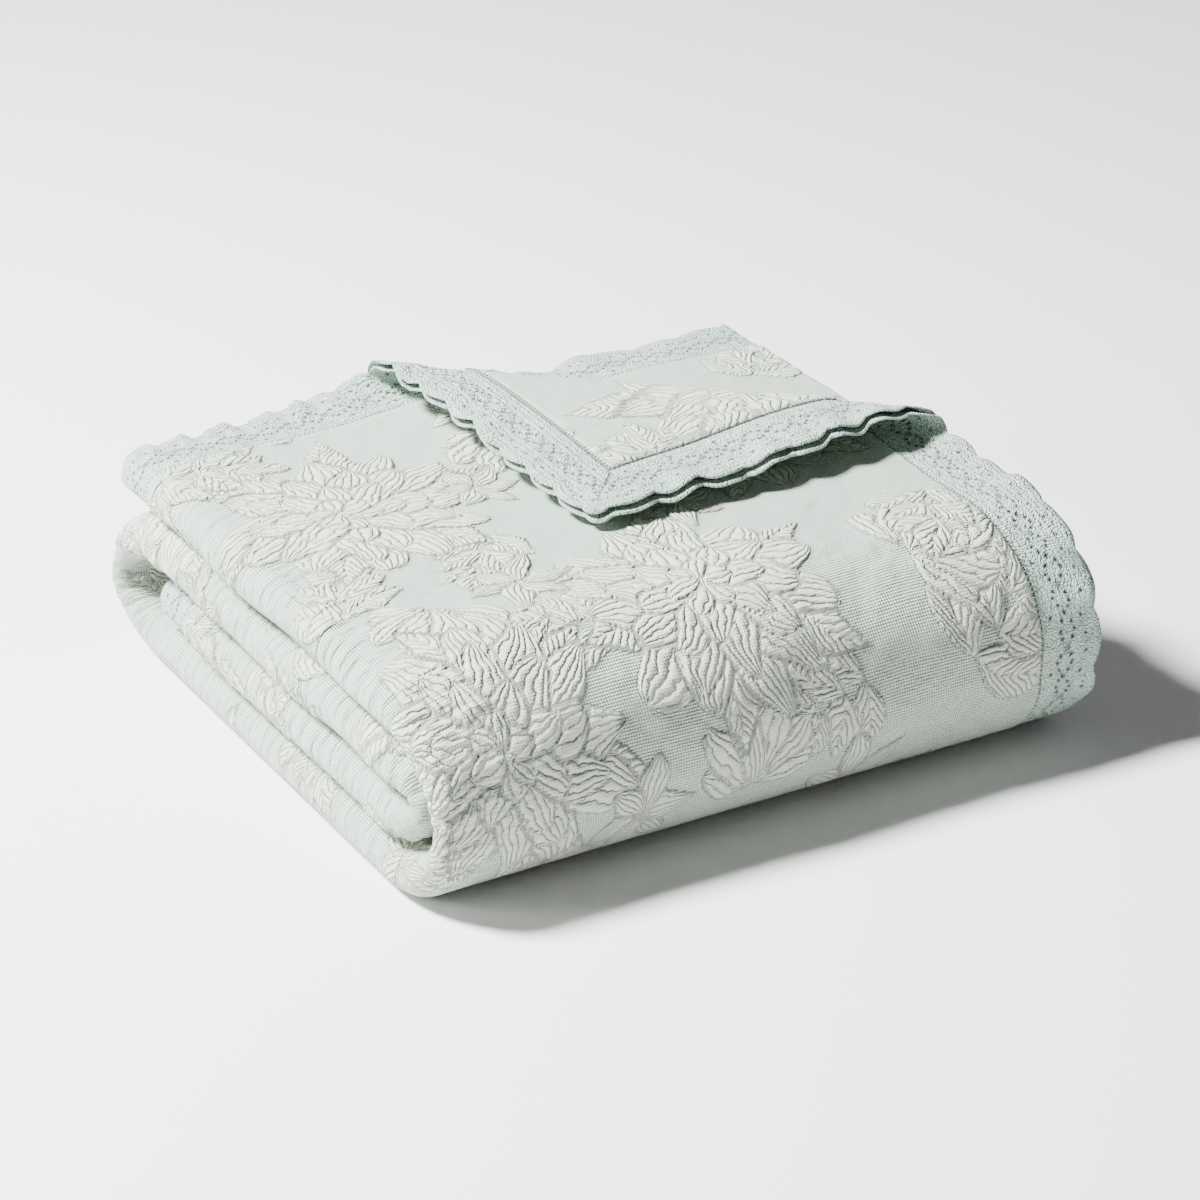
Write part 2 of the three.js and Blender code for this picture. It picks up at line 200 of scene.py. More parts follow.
@dataclass
class Folding:
    """Lays each point of the flat cut in its place in the folded stack."""

    cloth: float = 4.0
    left_rim: float = -280.0
    right_edge: float = 294.0
    right_fold: float = 290.0
    second_edge: float = 289.0
    back_edge: float = 268.0
    inner_end: float = 209.0
    mean_pitch: float = 12.5
    tight_pitch: float = 4.6
    fold_back_x: float = -64.0
    fold_right_y: float = -72.0
    fold_bow: float = 14.0
    turned_stretch: float = 1.09
    turned_pitch: float = 5.5
    crown: float = 2.5
    flat_below: float = 6.0
    shoulder_drop: float = 8.0
    shoulder_tilt: float = 5.0
    shoulder_width: float = 80.0
    sway: float = 3.0
    slump: float = 1.7
    slump_over: float = 50.0
    right_drawn_in: float = 3.0
    closing: float = 80.0
    turn_steps: int = 60
    near_floor: float = 24.0
    middle: tuple[float, float, float] = (7.17, 12.44, 0.1)
    passes: tuple[Pass, ...] = (
        Pass("top", 4, 158, 12, 170, 5.6),
        Pass("bottom", 5, 21, 12.6, 21.6, 13),
        Pass("upper", 0, 113, 12.4, 124, 13),
        Pass("lower", 2, 67, 12.4, 74, 13),
    )
    turns: tuple[Turn, ...] = (
        Turn("front wrap", -166, -187, -77, 8),
        Turn("back turn", 232, 222, 56, -8),
        Turn("inner turn", -184, -184, -44, 8),
    )
    # Distance past the corner's fold line, and how the sheet leans there in degrees
    tight_roll: tuple[tuple[float, float], ...] = (
        (-100, 0), (-50, 4), (-12, 9), (-6, 22), (1, 90), (9, 165),
        (30, 181), (90, 184), (160, 183), (220, 180), (320, 180),
    )
    loose_roll: tuple[tuple[float, float], ...] = (
        (-100, 0), (-75, 1), (-45, 12), (-20, 15), (-8, 36), (3, 90), (11, 143),
        (24, 174), (72, 186), (150, 185), (230, 183), (320, 180),
    )
    sections: list[Section] = field(init=False)
    spans: list[Span] = field(init=False)

    def __post_init__(self) -> None:
        """Works out the strip's section, its way and the roll of the turned-back corner."""
        self.half = self.cloth / 2
        self.sections = self._sections()
        self.cut_width = sum(section.length for section in self.sections)
        self.spans = self._spans()
        self.cut_length = sum(span.length for span in self.spans)
        self.middle_roll = self._roll(self.tight_roll)
        self.end_roll = self._roll(self.loose_roll)
        along = np.array([self.right_edge - self.fold_back_x, self.fold_right_y - self.back_edge])
        self.fold_length = float(np.hypot(*along))
        self.fold_along = along / self.fold_length
        self.fold_out = np.array([-self.fold_along[1], self.fold_along[0]])

    def _sections(self) -> list[Section]:
        """The strip's section, from the free edge of the first layer to that of the second.

        Returns:
            One section for each layer and each fold.
        """
        start = self.left_rim + OUTER_LAYER * self.mean_pitch + self.half
        end = self.right_fold - INNER_LAYER * self.mean_pitch - self.half
        arc = math.pi * self.mean_pitch
        layer, fold = Kind.LAYER, Kind.FOLD
        left, right = Rim.LEFT, Rim.RIGHT
        outer, inner = OUTER_LAYER, INNER_LAYER
        made = [
            Section("first", layer, self.right_edge - start, 1, outer, (Rim.FIRST, left)),
            Section("outer fold", fold, outer * arc, 1, at=left, radius=outer, start=90, turn=180),
            Section("fourth", layer, end - start, -1, -outer, (left, right)),
            Section(
                "right fold", fold, inner * arc, 1, at=right, centre=-1, radius=inner, start=-90, turn=180
            ),
            Section("third", layer, end - start, 1, -inner, (right, left)),
            Section("inner fold", fold, inner * arc, -1, at=left, radius=inner, start=270, turn=-180),
            Section("second", layer, self.second_edge - start, -1, inner, (left, Rim.SECOND)),
        ]
        begin = 0.0
        for section in made:
            section.begin = begin
            begin += section.length
        return made

    def _spans(self) -> list[Span]:
        """The passes and turns in the order in which the strip runs through them.

        Returns:
            One span for each pass and each turn.
        """
        made: list[Span] = []
        y = self.back_edge
        for index, lies in enumerate(self.passes):
            turn = self.turns[index] if index < len(self.turns) else None
            end = turn.start if turn else self.inner_end
            made.append(Span(lies.name, abs(end - y), lies, y, math.copysign(1, end - y)))
            if turn:
                after = self.passes[index + 1]
                count = self.turn_steps
                steps = (np.arange(count) + 0.5) * math.pi / count
                _, _, ty, tz = turn.at(lies.level(0.5), after.level(0.5), steps)
                lengths = np.concatenate([[0.0], np.cumsum(np.hypot(ty, tz) * math.pi / count)])
                whole = float(lengths[-1])
                made.append(Span(turn.name, whole, bend=turn, before=lies, after=after, lengths=lengths))
                y = turn.end
        begin = 0.0
        for span in made:
            span.begin = begin
            begin += span.length
        return made

    def _roll(self, shape: tuple[tuple[float, float], ...]) -> Array:
        """Adds up the sheet's way over the corner's fold, millimetre by millimetre.

        Args:
            shape: ways past the fold line, each with the degrees that the sheet leans there.

        Returns:
            Rows of how far out, how far up and how much the sheet leans.
        """
        past, lean = np.array(shape, float).T
        at = np.arange(past[0], past[-1] + 0.5)
        row = np.minimum(np.searchsorted(past, at, "right") - 1, len(past) - 2)
        share = ease((at - past[row]) / (past[row + 1] - past[row]))
        angle = np.radians(mix(lean[row], lean[row + 1], share))
        stride = np.where(at > 0, self.turned_stretch, 1.0)
        out = past[0] + np.concatenate([[0.0], np.cumsum(np.cos(angle) * stride)[:-1]])
        up = np.concatenate([[0.0], np.cumsum(np.sin(angle) * stride)[:-1]])
        return np.stack([out, up, angle])

    def section(self, name: str) -> Section:
        """The layer or fold of that name."""
        return next(section for section in self.sections if section.name == name)

    def span(self, name: str) -> Span:
        """The pass or turn of that name."""
        return next(span for span in self.spans if span.name == name)

    def section_index(self, across: Array) -> Array:
        """Which section each place across lies in."""
        begins = [section.begin for section in self.sections]
        return np.clip(np.searchsorted(begins, across, "right") - 1, 0, len(begins) - 1)

    def within(self, across: Array, *names: str) -> Array:
        """Whether each place across lies in one of the named layers or folds."""
        wanted = [number for number, section in enumerate(self.sections) if section.name in names]
        return np.isin(self.section_index(across), wanted)

    def off_floor(self, z: Array, over: float = 30.0) -> Array:
        """Goes from 0 near the floor to 1 above it, so that nothing bulges down into it."""
        return ease((z - self.near_floor) / over)

    def side(self, across: Array) -> Array:
        """How far each place lies from the left folds, at 0, to the right, at 1.

        Args:
            across: places across the cut.

        Returns:
            The share of the way at each place.
        """
        index = self.section_index(across)
        side = np.zeros_like(across)
        value = {rim: 0.0 if rim is Rim.LEFT else 1.0 for rim in Rim}
        for number, section in enumerate(self.sections):
            here = index == number
            share = (across[here] - section.begin) / section.length
            if section.kind is Kind.FOLD:
                side[here] = value[section.at]
            else:
                side[here] = mix(value[section.ends[0]], value[section.ends[1]], share)
        return 1 - (1 - side) ** 2

    def strip(self, along: Array, side: Array) -> Strip:
        """The strip's middle, its normal and its layers' pitch at each place.

        Args:
            along: places along the cut.
            side: the same places' sides, from 0 at the left folds to 1 at the right.

        Returns:
            The strip at those places.
        """
        begins = [span.begin for span in self.spans]
        index = np.clip(np.searchsorted(begins, along, "right") - 1, 0, len(begins) - 1)
        made = [np.zeros_like(along) for _ in range(7)]
        y, z, normal_y, normal_z, pitch, inset, bent = made
        for number, span in enumerate(self.spans):
            here = index == number
            if not here.any():
                continue
            past, s = along[here] - span.begin, side[here]
            if span.lies:
                y[here] = span.y + span.way * past
                z[here] = span.lies.level(s)
                normal_z[here] = -span.way
                pitch[here] = span.lies.pitch(s)
                inset[here] = span.lies.drawn_in
                continue
            angle = np.interp(past, span.lengths, np.arange(self.turn_steps + 1) * math.pi / self.turn_steps)
            y[here], z[here], ty, tz = span.bend.at(span.before.level(s), span.after.level(s), angle)
            speed = np.hypot(ty, tz)
            normal_y[here], normal_z[here] = tz / speed, -ty / speed
            bend, passed = np.sin(angle) ** 2, (1 - np.cos(angle)) / 2
            loose_pitch = mix(span.before.pitch(s), span.after.pitch(s), passed)
            pitch[here] = mix(loose_pitch, self.tight_pitch, bend)
            inset[here] = mix(span.before.drawn_in, span.after.drawn_in, passed) + span.bend.drawn_in * bend
            bent[here] = bend
        return Strip(y, z, normal_y, normal_z, pitch, inset, bent, index == 0)

    def fold_share(self, x: Array, y: Array) -> Array:
        """How far each place lies along the corner's fold line, from 0 to 1."""
        along = (x - self.fold_back_x) * self.fold_along[0] + (y - self.back_edge) * self.fold_along[1]
        return np.clip(along / self.fold_length, 0, 1)

    def past_fold(self, x: Array, y: Array) -> Array:
        """How far each place of the flat top pass lies past the corner's bowed fold line.

        Args:
            x, y: places on the pass.

        Returns:
            The distances, below 0 before the line.
        """
        share = self.fold_share(x, y)
        bow = self.fold_bow * 4 * share * (1 - share)
        return (x - self.fold_back_x) * self.fold_out[0] + (y - self.back_edge) * self.fold_out[1] - bow

    def _turn_back(self, x: Array, y: Array, z: Array, height: Array, pitch: Array) -> tuple[Array, ...]:
        """Moves points of the two upper layers of the top pass over the corner's fold.

        Args:
            x, y, z: places on the first layer's middle.
            height: the points' places over it.
            pitch: the distance between the two layers there.

        Returns:
            The moved points' x, y and z.
        """
        past = self.past_fold(x, y)
        place = past - self.tight_roll[0][0]
        closer = ease(place / self.closing)
        near = height + np.round(height / pitch) * (mix(pitch, self.turned_pitch, closer) - pitch)
        ending = (2 * self.fold_share(x, y) - 1) ** 2
        rows = np.arange(self.middle_roll.shape[1])
        out, up, lean = (
            mix(np.interp(place, rows, middle), np.interp(place, rows, end), ending)
            for middle, end in zip(self.middle_roll, self.end_roll)
        )
        out = out - near * np.sin(lean)
        up = up + near * np.cos(lean)
        turned = place > 0
        shift = np.where(turned, out - past, 0.0)
        rise = np.where(turned, up, height)
        return x + self.fold_out[0] * shift, y + self.fold_out[1] * shift, z + rise

    def settle(self, x: Array, y: Array, z: Array) -> Array:
        """Lets the whole stack lean and swell a little, over its flat underside.

        The swell is a wave over x and y. Here and in the waves below, a divisor sets a wave's length
        in millimetres and an added number shifts it.

        Args:
            x, y, z: places in the stack.

        Returns:
            One row of x, y and z for each place, in metres from the origin.
        """
        top = self.passes[0].right_level + OUTER_LAYER * self.passes[0].right_pitch
        share = np.maximum(0, z - self.flat_below) / (top - self.flat_below)
        swell = self.crown * np.sin(x / 95 + 0.6) * np.cos(y / 120 - 0.4)
        drop = self.shoulder_drop - self.shoulder_tilt * y / self.back_edge
        shoulder = drop * ease((self.left_rim + self.shoulder_width - x) / self.shoulder_width)
        placed = np.stack([x + self.sway * np.sin(z / 50), y, z + (swell - shoulder) * share], axis=-1)
        placed = placed + self._slumped(x, y, z)
        return (placed - np.array(self.middle)) * MM

    def _slumped(self, x: Array, y: Array, z: Array) -> Array:
        """The small uneven bends that a soft stack takes, which leave its underside flat.

        Args:
            x, y, z: places in the stack.

        Returns:
            How far each place moves in x, y and z, in millimetres.
        """
        free = ease((z - self.flat_below) / self.slump_over)
        aside = np.sin(y / 33 + 1.4 * np.sin(z / 24)) * np.sin(z / 21 + x / 90 + 0.8)
        ahead = np.sin(x / 36 + 1.2 * np.sin(z / 27 + 1)) * np.sin(z / 23 + y / 80)
        rise = np.sin(x / 34 + 1.1 * np.sin(y / 45)) * np.sin(y / 38 + 0.9 * np.sin(x / 52 + 2))
        return np.stack([aside, ahead, rise * 0.8], axis=-1) * (self.slump * free)[..., None]

    def place(self, across: Array, along: Array, lift: Value = 0.0) -> Array:
        """Lays points of the cut in the stack.

        Args:
            across: places across the cut.
            along: places along it.
            lift: distance from the cloth's middle towards its quilted face.

        Returns:
            One row of x, y and z for each point, in metres.
        """
        lift = np.broadcast_to(np.asarray(lift, float), across.shape)
        strip = self.strip(along, self.side(across))
        index = self.section_index(across)
        x, height, face_x, face_up = (np.zeros_like(across) for _ in range(4))
        right = self.right_fold - strip.bent * self.right_drawn_in
        ends = {
            Rim.LEFT: self.left_rim + strip.inset + OUTER_LAYER * strip.pitch + self.half,
            Rim.RIGHT: right - INNER_LAYER * strip.pitch - self.half,
            Rim.FIRST: np.full_like(across, self.right_edge),
            Rim.SECOND: np.full_like(across, self.second_edge),
        }
        for number, section in enumerate(self.sections):
            here = index == number
            share = (across[here] - section.begin) / section.length
            pitch = strip.pitch[here]
            if section.kind is Kind.LAYER:
                x[here] = mix(ends[section.ends[0]][here], ends[section.ends[1]][here], share)
                height[here] = section.level * pitch
                face_up[here] = section.face
                continue
            angle = np.radians(section.start + section.turn * share)
            x[here] = ends[section.at][here] + section.radius * pitch * np.cos(angle)
            height[here] = section.centre * pitch + section.radius * pitch * np.sin(angle)
            face_x[here], face_up[here] = section.face * np.cos(angle), section.face * np.sin(angle)
        x = x + lift * face_x
        height = height + lift * face_up
        y, z = strip.y + height * strip.normal_y, strip.z + height * strip.normal_z
        turned = strip.on_top & self.within(across, "first", "second")
        first = OUTER_LAYER * strip.pitch[turned]
        x[turned], y[turned], z[turned] = self._turn_back(
            x[turned], strip.y[turned], strip.z[turned] + first, height[turned] - first, strip.pitch[turned]
        )
        return self.settle(x, y, z)


class Leaf(Enum):
    """How a quilted petal or leaf is stitched inside its outline."""

    CHANNELLED = "channels that run from its foot to its tip"
    VEINED = "a middle vein with slanting side veins"


class Flower(Enum):
    """The kinds of flower and sprig that the quilting repeats."""

    BLOSSOM = "a full flower with leaves"
    SPRAY = "pairs of leaves along a stem"
    STAR = "a small flower of pointed petals"
    FAN = "long petals that spread from one foot"


@dataclass(frozen=True)
class QuiltedLeaf:
    """One petal or leaf on the cut: its foot, direction in degrees, size and stitching.

    channels counts a petal's channels, and on a veined leaf it sets the distance between its veins.
    A leaf with blunt under 1 is broader towards its tip.
    """

    across: float
    along: float
    turn: float
    length: float
    width: float
    stitched: Leaf
    channels: float = 5.0
    blunt: float = 1.0


@dataclass(frozen=True)
class Motif:
    """Where a flower or sprig stands on the cut, its size and how far it is turned."""

    shape: Flower
    across: float
    along: float
    size: float
    turn: float = 0.0


@dataclass
class Quilting:
    """The puffed flowers and leaves that are stitched into the cloth."""

    repeat_across: float = 570.0
    repeat_along: float = 720.0
    rise: float = 1.9
    wander: float = 3.6
    followed: float = 12.0
    shoulder: float = 2.6
    groove_height: float = 0.42
    ridge_height: float = 0.58
    blunt: float = 0.6
    motifs: tuple[Motif, ...] = (
        Motif(Flower.SPRAY, 206, 540, 84, 20),
        Motif(Flower.SPRAY, 392, 470, 80, 330),
        Motif(Flower.SPRAY, 400, 300, 84, 60),
        Motif(Flower.SPRAY, 546, 360, 90, 250),
        Motif(Flower.FAN, 486, 392, 76, 60),
        Motif(Flower.FAN, 310, 596, 72, 265),
        Motif(Flower.BLOSSOM, 302, 448, 112, 10),
        Motif(Flower.BLOSSOM, 504, 528, 108, 30),
        Motif(Flower.BLOSSOM, 468, 206, 114, 50),
        Motif(Flower.BLOSSOM, 158, 232, 108, 0),
        Motif(Flower.SPRAY, 116, 552, 112, 215),
        Motif(Flower.FAN, 132, 470, 84, 205),
        Motif(Flower.SPRAY, 70, 400, 84, 60),
        Motif(Flower.STAR, 402, 600, 50, 15),
        Motif(Flower.STAR, 214, 626, 56, 40),
        Motif(Flower.STAR, 410, 384, 52, 0),
        Motif(Flower.STAR, 246, 326, 46, 25),
        Motif(Flower.FAN, 300, 130, 80, 80),
        Motif(Flower.SPRAY, 240, 60, 90, 20),
        Motif(Flower.SPRAY, 560, 70, 90, 160),
        Motif(Flower.SPRAY, 70, 110, 90, 230),
        Motif(Flower.BLOSSOM, 470, 692, 92, 70),
        Motif(Flower.SPRAY, 130, 690, 96, 330),
        Motif(Flower.STAR, 24, 640, 46, 10),
        Motif(Flower.STAR, 356, 214, 42, 50),
    )

    def __post_init__(self) -> None:
        """Lays out every petal and leaf of one repeat, the lowest first."""
        makers: dict[Flower, Callable[[Motif], list[QuiltedLeaf]]] = {
            Flower.BLOSSOM: self._blossom,
            Flower.SPRAY: self._spray,
            Flower.STAR: self._star,
            Flower.FAN: self._fan,
        }
        self.leaves = [leaf for motif in self.motifs for leaf in makers[motif.shape](motif)]

    @staticmethod
    def _uneven(seed: float) -> float:
        """A number between -1 and 1 that changes from petal to petal."""
        return math.sin(seed * 12.9898 + 4.1) * math.cos(seed * 7.233)

    def _blossom(self, motif: Motif) -> list[QuiltedLeaf]:
        """A full flower: leaves below, three rings of petals and a small heart.

        Args:
            motif: the flower's place, size and turn.

        Returns:
            Its leaves and petals.
        """
        a, b, r, t = motif.across, motif.along, motif.size, motif.turn
        leaves = []
        for step in range(6):
            odd = self._uneven(step + t)
            turn, length = t + 14 + step * 60 + 9 * odd, r * (1.16 + 0.12 * odd)
            leaves.append(QuiltedLeaf(a, b, turn, length, r * 0.46, Leaf.VEINED, 6.8))
        rings = ((12, 1.0, 0.38, 6.0), (10, 0.76, 0.32, 5.0), (8, 0.52, 0.26, 4.0), (6, 0.28, 0.18, 3.0))
        for ring, (count, reach, width, channels) in enumerate(rings):
            for step in range(count):
                odd = self._uneven(3 * ring + step * 1.7 + t)
                turn = t + 17 * ring + (step + 0.18 * odd) * 360 / count
                length = r * reach * (0.95 + 0.1 * odd)
                petal = QuiltedLeaf(a, b, turn, length, r * width, Leaf.CHANNELLED, channels, self.blunt)
                leaves.append(petal)
        return leaves

    @staticmethod
    def _spray(motif: Motif) -> list[QuiltedLeaf]:
        """Pairs of leaves along a stem, and one at its tip.

        Args:
            motif: the spray's place, size and turn.

        Returns:
            Its leaves.
        """
        leaves = []
        turn, size = math.radians(motif.turn), motif.size
        for step, at in enumerate((0.0, 0.28, 0.55)):
            a = motif.across + math.cos(turn) * size * at
            b = motif.along + math.sin(turn) * size * at
            reach = size * (0.66 - 0.1 * step)
            for side in (-1, 1):
                lean = motif.turn + side * (56 - 6 * step)
                leaves.append(QuiltedLeaf(a, b, lean, reach, reach * 0.56, Leaf.VEINED, 6.4))
        leaves.append(QuiltedLeaf(a, b, motif.turn, size * 0.56, size * 0.3, Leaf.VEINED, 6.0))
        return leaves

    @staticmethod
    def _star(motif: Motif) -> list[QuiltedLeaf]:
        """A small flower of six pointed petals.

        Args:
            motif: the flower's place, size and turn.

        Returns:
            Its petals.
        """
        a, b, r = motif.across, motif.along, motif.size
        leaves = []
        for step in range(6):
            length = r * (0.9 + 0.1 * math.sin(step * 2.1))
            leaves.append(QuiltedLeaf(a, b, motif.turn + step * 60, length, r * 0.46, Leaf.CHANNELLED, 5.0))
        return leaves

    def _fan(self, motif: Motif) -> list[QuiltedLeaf]:
        """Six long petals that spread from one foot."""
        a, b, r = motif.across, motif.along, motif.size
        return [
            QuiltedLeaf(a, b, motif.turn + turn, r * reach, r * 0.4, Leaf.CHANNELLED, 4.0, self.blunt)
            for turn, reach in ((-74, 0.66), (70, 0.7), (-46, 0.86), (42, 0.9), (-17, 1.0), (14, 1.04))
        ]

    def pattern(self, across: Array, along: Array) -> tuple[Array, Array]:
        """The stitching at each place of the cut.

        Args:
            across, along: places on the cut.

        Returns:
            The distance to the nearest outline in millimetres, below 0 on the plain ground, and the
            count of channels from the leaf's edge, whose whole numbers are stitched lines.
        """
        w = self.wander
        u = across + w * np.sin(along / 23 + 1.3) + 0.55 * w * np.sin(across / 8.5 + along / 11)
        v = along + w * np.sin(across / 20 + 0.4) + 0.55 * w * np.cos(across / 10 - along / 9)
        outline = np.full(across.shape, -self.followed)
        channel = np.full(across.shape, 0.5)
        for leaf in self.leaves:
            du = nearest_repeat(u - leaf.across, self.repeat_across)
            dv = nearest_repeat(v - leaf.along, self.repeat_along)
            reach = leaf.length + self.followed
            near = (np.abs(du) < reach) & (np.abs(dv) < reach)
            du, dv = du[near], dv[near]
            turn = math.radians(leaf.turn)
            s = du * math.cos(turn) + dv * math.sin(turn)
            t = -du * math.sin(turn) + dv * math.cos(turn)
            share = np.clip(s / leaf.length, 0.001, 0.999)
            fullness = 1.25 if leaf.blunt < 1 else 0.85
            half = leaf.width / 2 * np.sin(math.pi * share**fullness) ** leaf.blunt
            if leaf.stitched is Leaf.VEINED:
                number = (s - 1.5 * np.abs(t)) / (1.3 * leaf.channels)
                half = half * (0.9 + 0.18 * np.abs(np.sin(math.pi * number)))
                tip = leaf.length
            else:
                number = (t / np.maximum(half, 2.0) + 1) * leaf.channels / 2
                tip = leaf.length * (0.93 + 0.07 * np.abs(np.sin(math.pi * number)))
            inside = np.minimum(np.minimum(half - np.abs(t), s), tip - s)
            edge = np.where(inside > 0, inside * 0.9, inside)
            if leaf.stitched is Leaf.VEINED:
                edge = np.where(inside > 0, np.minimum(edge, np.abs(t) + 0.35), edge)
            now, count = outline[near], channel[near]
            on_leaf = edge > 0
            beside = np.where(now > 0, np.minimum(now, -edge), np.maximum(now, edge))
            outline[near] = np.where(on_leaf, edge, beside)
            channel[near] = np.where(on_leaf, number, count)
        return outline, channel

    def puff(self, outline: Array, channel: Array) -> Array:
        """How far the face stands up at each place, in millimetres.

        Args:
            outline, channel: the stitching there, as pattern gives it.

        Returns:
            The height at each place.
        """
        shoulder = np.sqrt(np.clip(outline / self.shoulder, 0, 1))
        ridge = np.abs(np.sin(math.pi * channel)) ** 0.6
        return self.rise * shoulder * (self.groove_height + self.ridge_height * ridge)


def creases(across: Array, along: Array) -> Array:
    """Soft puckers and hollows of the cloth between its stitching, in millimetres.

    Args:
        across, along: places on the cut.

    Returns:
        The height at each place.
    """
    broad = np.sin(across / 37 + 0.8 * np.sin(along / 61))
    broad = broad * np.sin(along / 49 + 0.7 * np.sin(across / 53))
    short = np.sin(across / 9.5 + 1.1 * np.sin(along / 33))
    short = short * np.sin(along / 17 + 1.3 * np.sin(across / 29 + 2))
    return broad + 0.6 * short


def puckers(across: Array, along: Array, rim: float) -> Array:
    """Short wrinkles that lie across a folded rim, in millimetres.

    Args:
        across, along: places on the cut.
        rim: the place across of the rim's middle.

    Returns:
        The height at each place.
    """
    off = across - rim
    close = np.exp(-((off / 62) ** 2))
    bend = 1.3 * np.sin(along / 19 + off / 31) + 0.8 * np.sin(along / 47)
    wave = np.sin(along / 1.95 + bend + 1.1 * np.sin(off / 15))
    strength = 0.55 + 0.45 * np.sin(along / 27 + off / 12 + 1)
    return wave * strength * close


def smooth_mesh(name: str, points: Array, faces: Sequence[Sequence[int]]) -> bpy.types.Object:
    """Makes a smooth-shaded object from points in metres and faces of point numbers.

    Args:
        name: the object's name.
        points: x, y and z of each point.
        faces: the point numbers of each face.

    Returns:
        The new object.
    """
    mesh = bpy.data.meshes.new(name)
    mesh.from_pydata(points.tolist(), [], faces)
    mesh.polygons.foreach_set("use_smooth", np.ones(len(mesh.polygons), bool))
    mesh.update()
    thing = bpy.data.objects.new(name, mesh)
    bpy.context.collection.objects.link(thing)
    return thing


def store_value(thing: bpy.types.Object, name: str, values: Array) -> None:
    """Keeps one number for each point of a mesh, for its material to read."""
    kept = thing.data.attributes.new(name, "FLOAT", "POINT")
    kept.data.foreach_set("value", values.astype(np.float32))


def store_cut(thing: bpy.types.Object, across: Array, along: Array) -> None:
    """Keeps each point's place on the flat cut, in metres, as the piece's UV map.

    Args:
        thing: the piece.
        across, along: its points' places on the cut.
    """
    layer = thing.data.uv_layers.new(name="cut")
    corner = np.empty(len(thing.data.loops), np.int32)
    thing.data.loops.foreach_get("vertex_index", corner)
    uv = np.stack([across[corner], along[corner]], axis=1) * MM
    layer.data.foreach_set("uv", uv.ravel().astype(np.float32))


def lines(low: float, high: float, step: float) -> Array:
    """Evenly spaced places from low to high, about one step apart."""
    return np.linspace(low, high, max(2, round((high - low) / step) + 1))


def joined(*parts: Array) -> Array:
    """One rising list from several that meet at their ends."""
    return np.unique(np.round(np.concatenate(parts), 4))


def zipped(a_at: Array, a: Array, b_at: Array, b: Array) -> list[tuple[int, int, int]]:
    """Triangles between two lines of points.

    Args:
        a_at, b_at: the points' places along the two lines, rising.
        a, b: the point numbers. With a on the left and b on the right of the way, faces look up.

    Returns:
        Three point numbers for each triangle.
    """
    made, i, j = [], 0, 0
    while i < len(a) - 1 or j < len(b) - 1:
        if j == len(b) - 1 or (i < len(a) - 1 and a_at[i + 1] <= b_at[j + 1]):
            made.append((int(a[i]), int(b[j]), int(a[i + 1])))
            i += 1
        else:
            made.append((int(a[i]), int(b[j]), int(b[j + 1])))
            j += 1
    return made


@dataclass
class Band:
    """One stretch of the cover's width, with its own columns and rows of points."""

    columns: Array
    rows: Array
    first: int = 0

    def numbers(self) -> Array:
        """The point numbers, one row for each row of the band."""
        count = len(self.columns) * len(self.rows)
        return (np.arange(count) + self.first).reshape(len(self.rows), len(self.columns))

    def thinned(self, columns: int, rows: int) -> Band:
        """The same band with only some of its columns and rows, its ends among them."""
        kept = [
            np.unique(np.concatenate([at[::every], at[-1:]]))
            for at, every in ((self.columns, columns), (self.rows, rows))
        ]
        return Band(*kept)


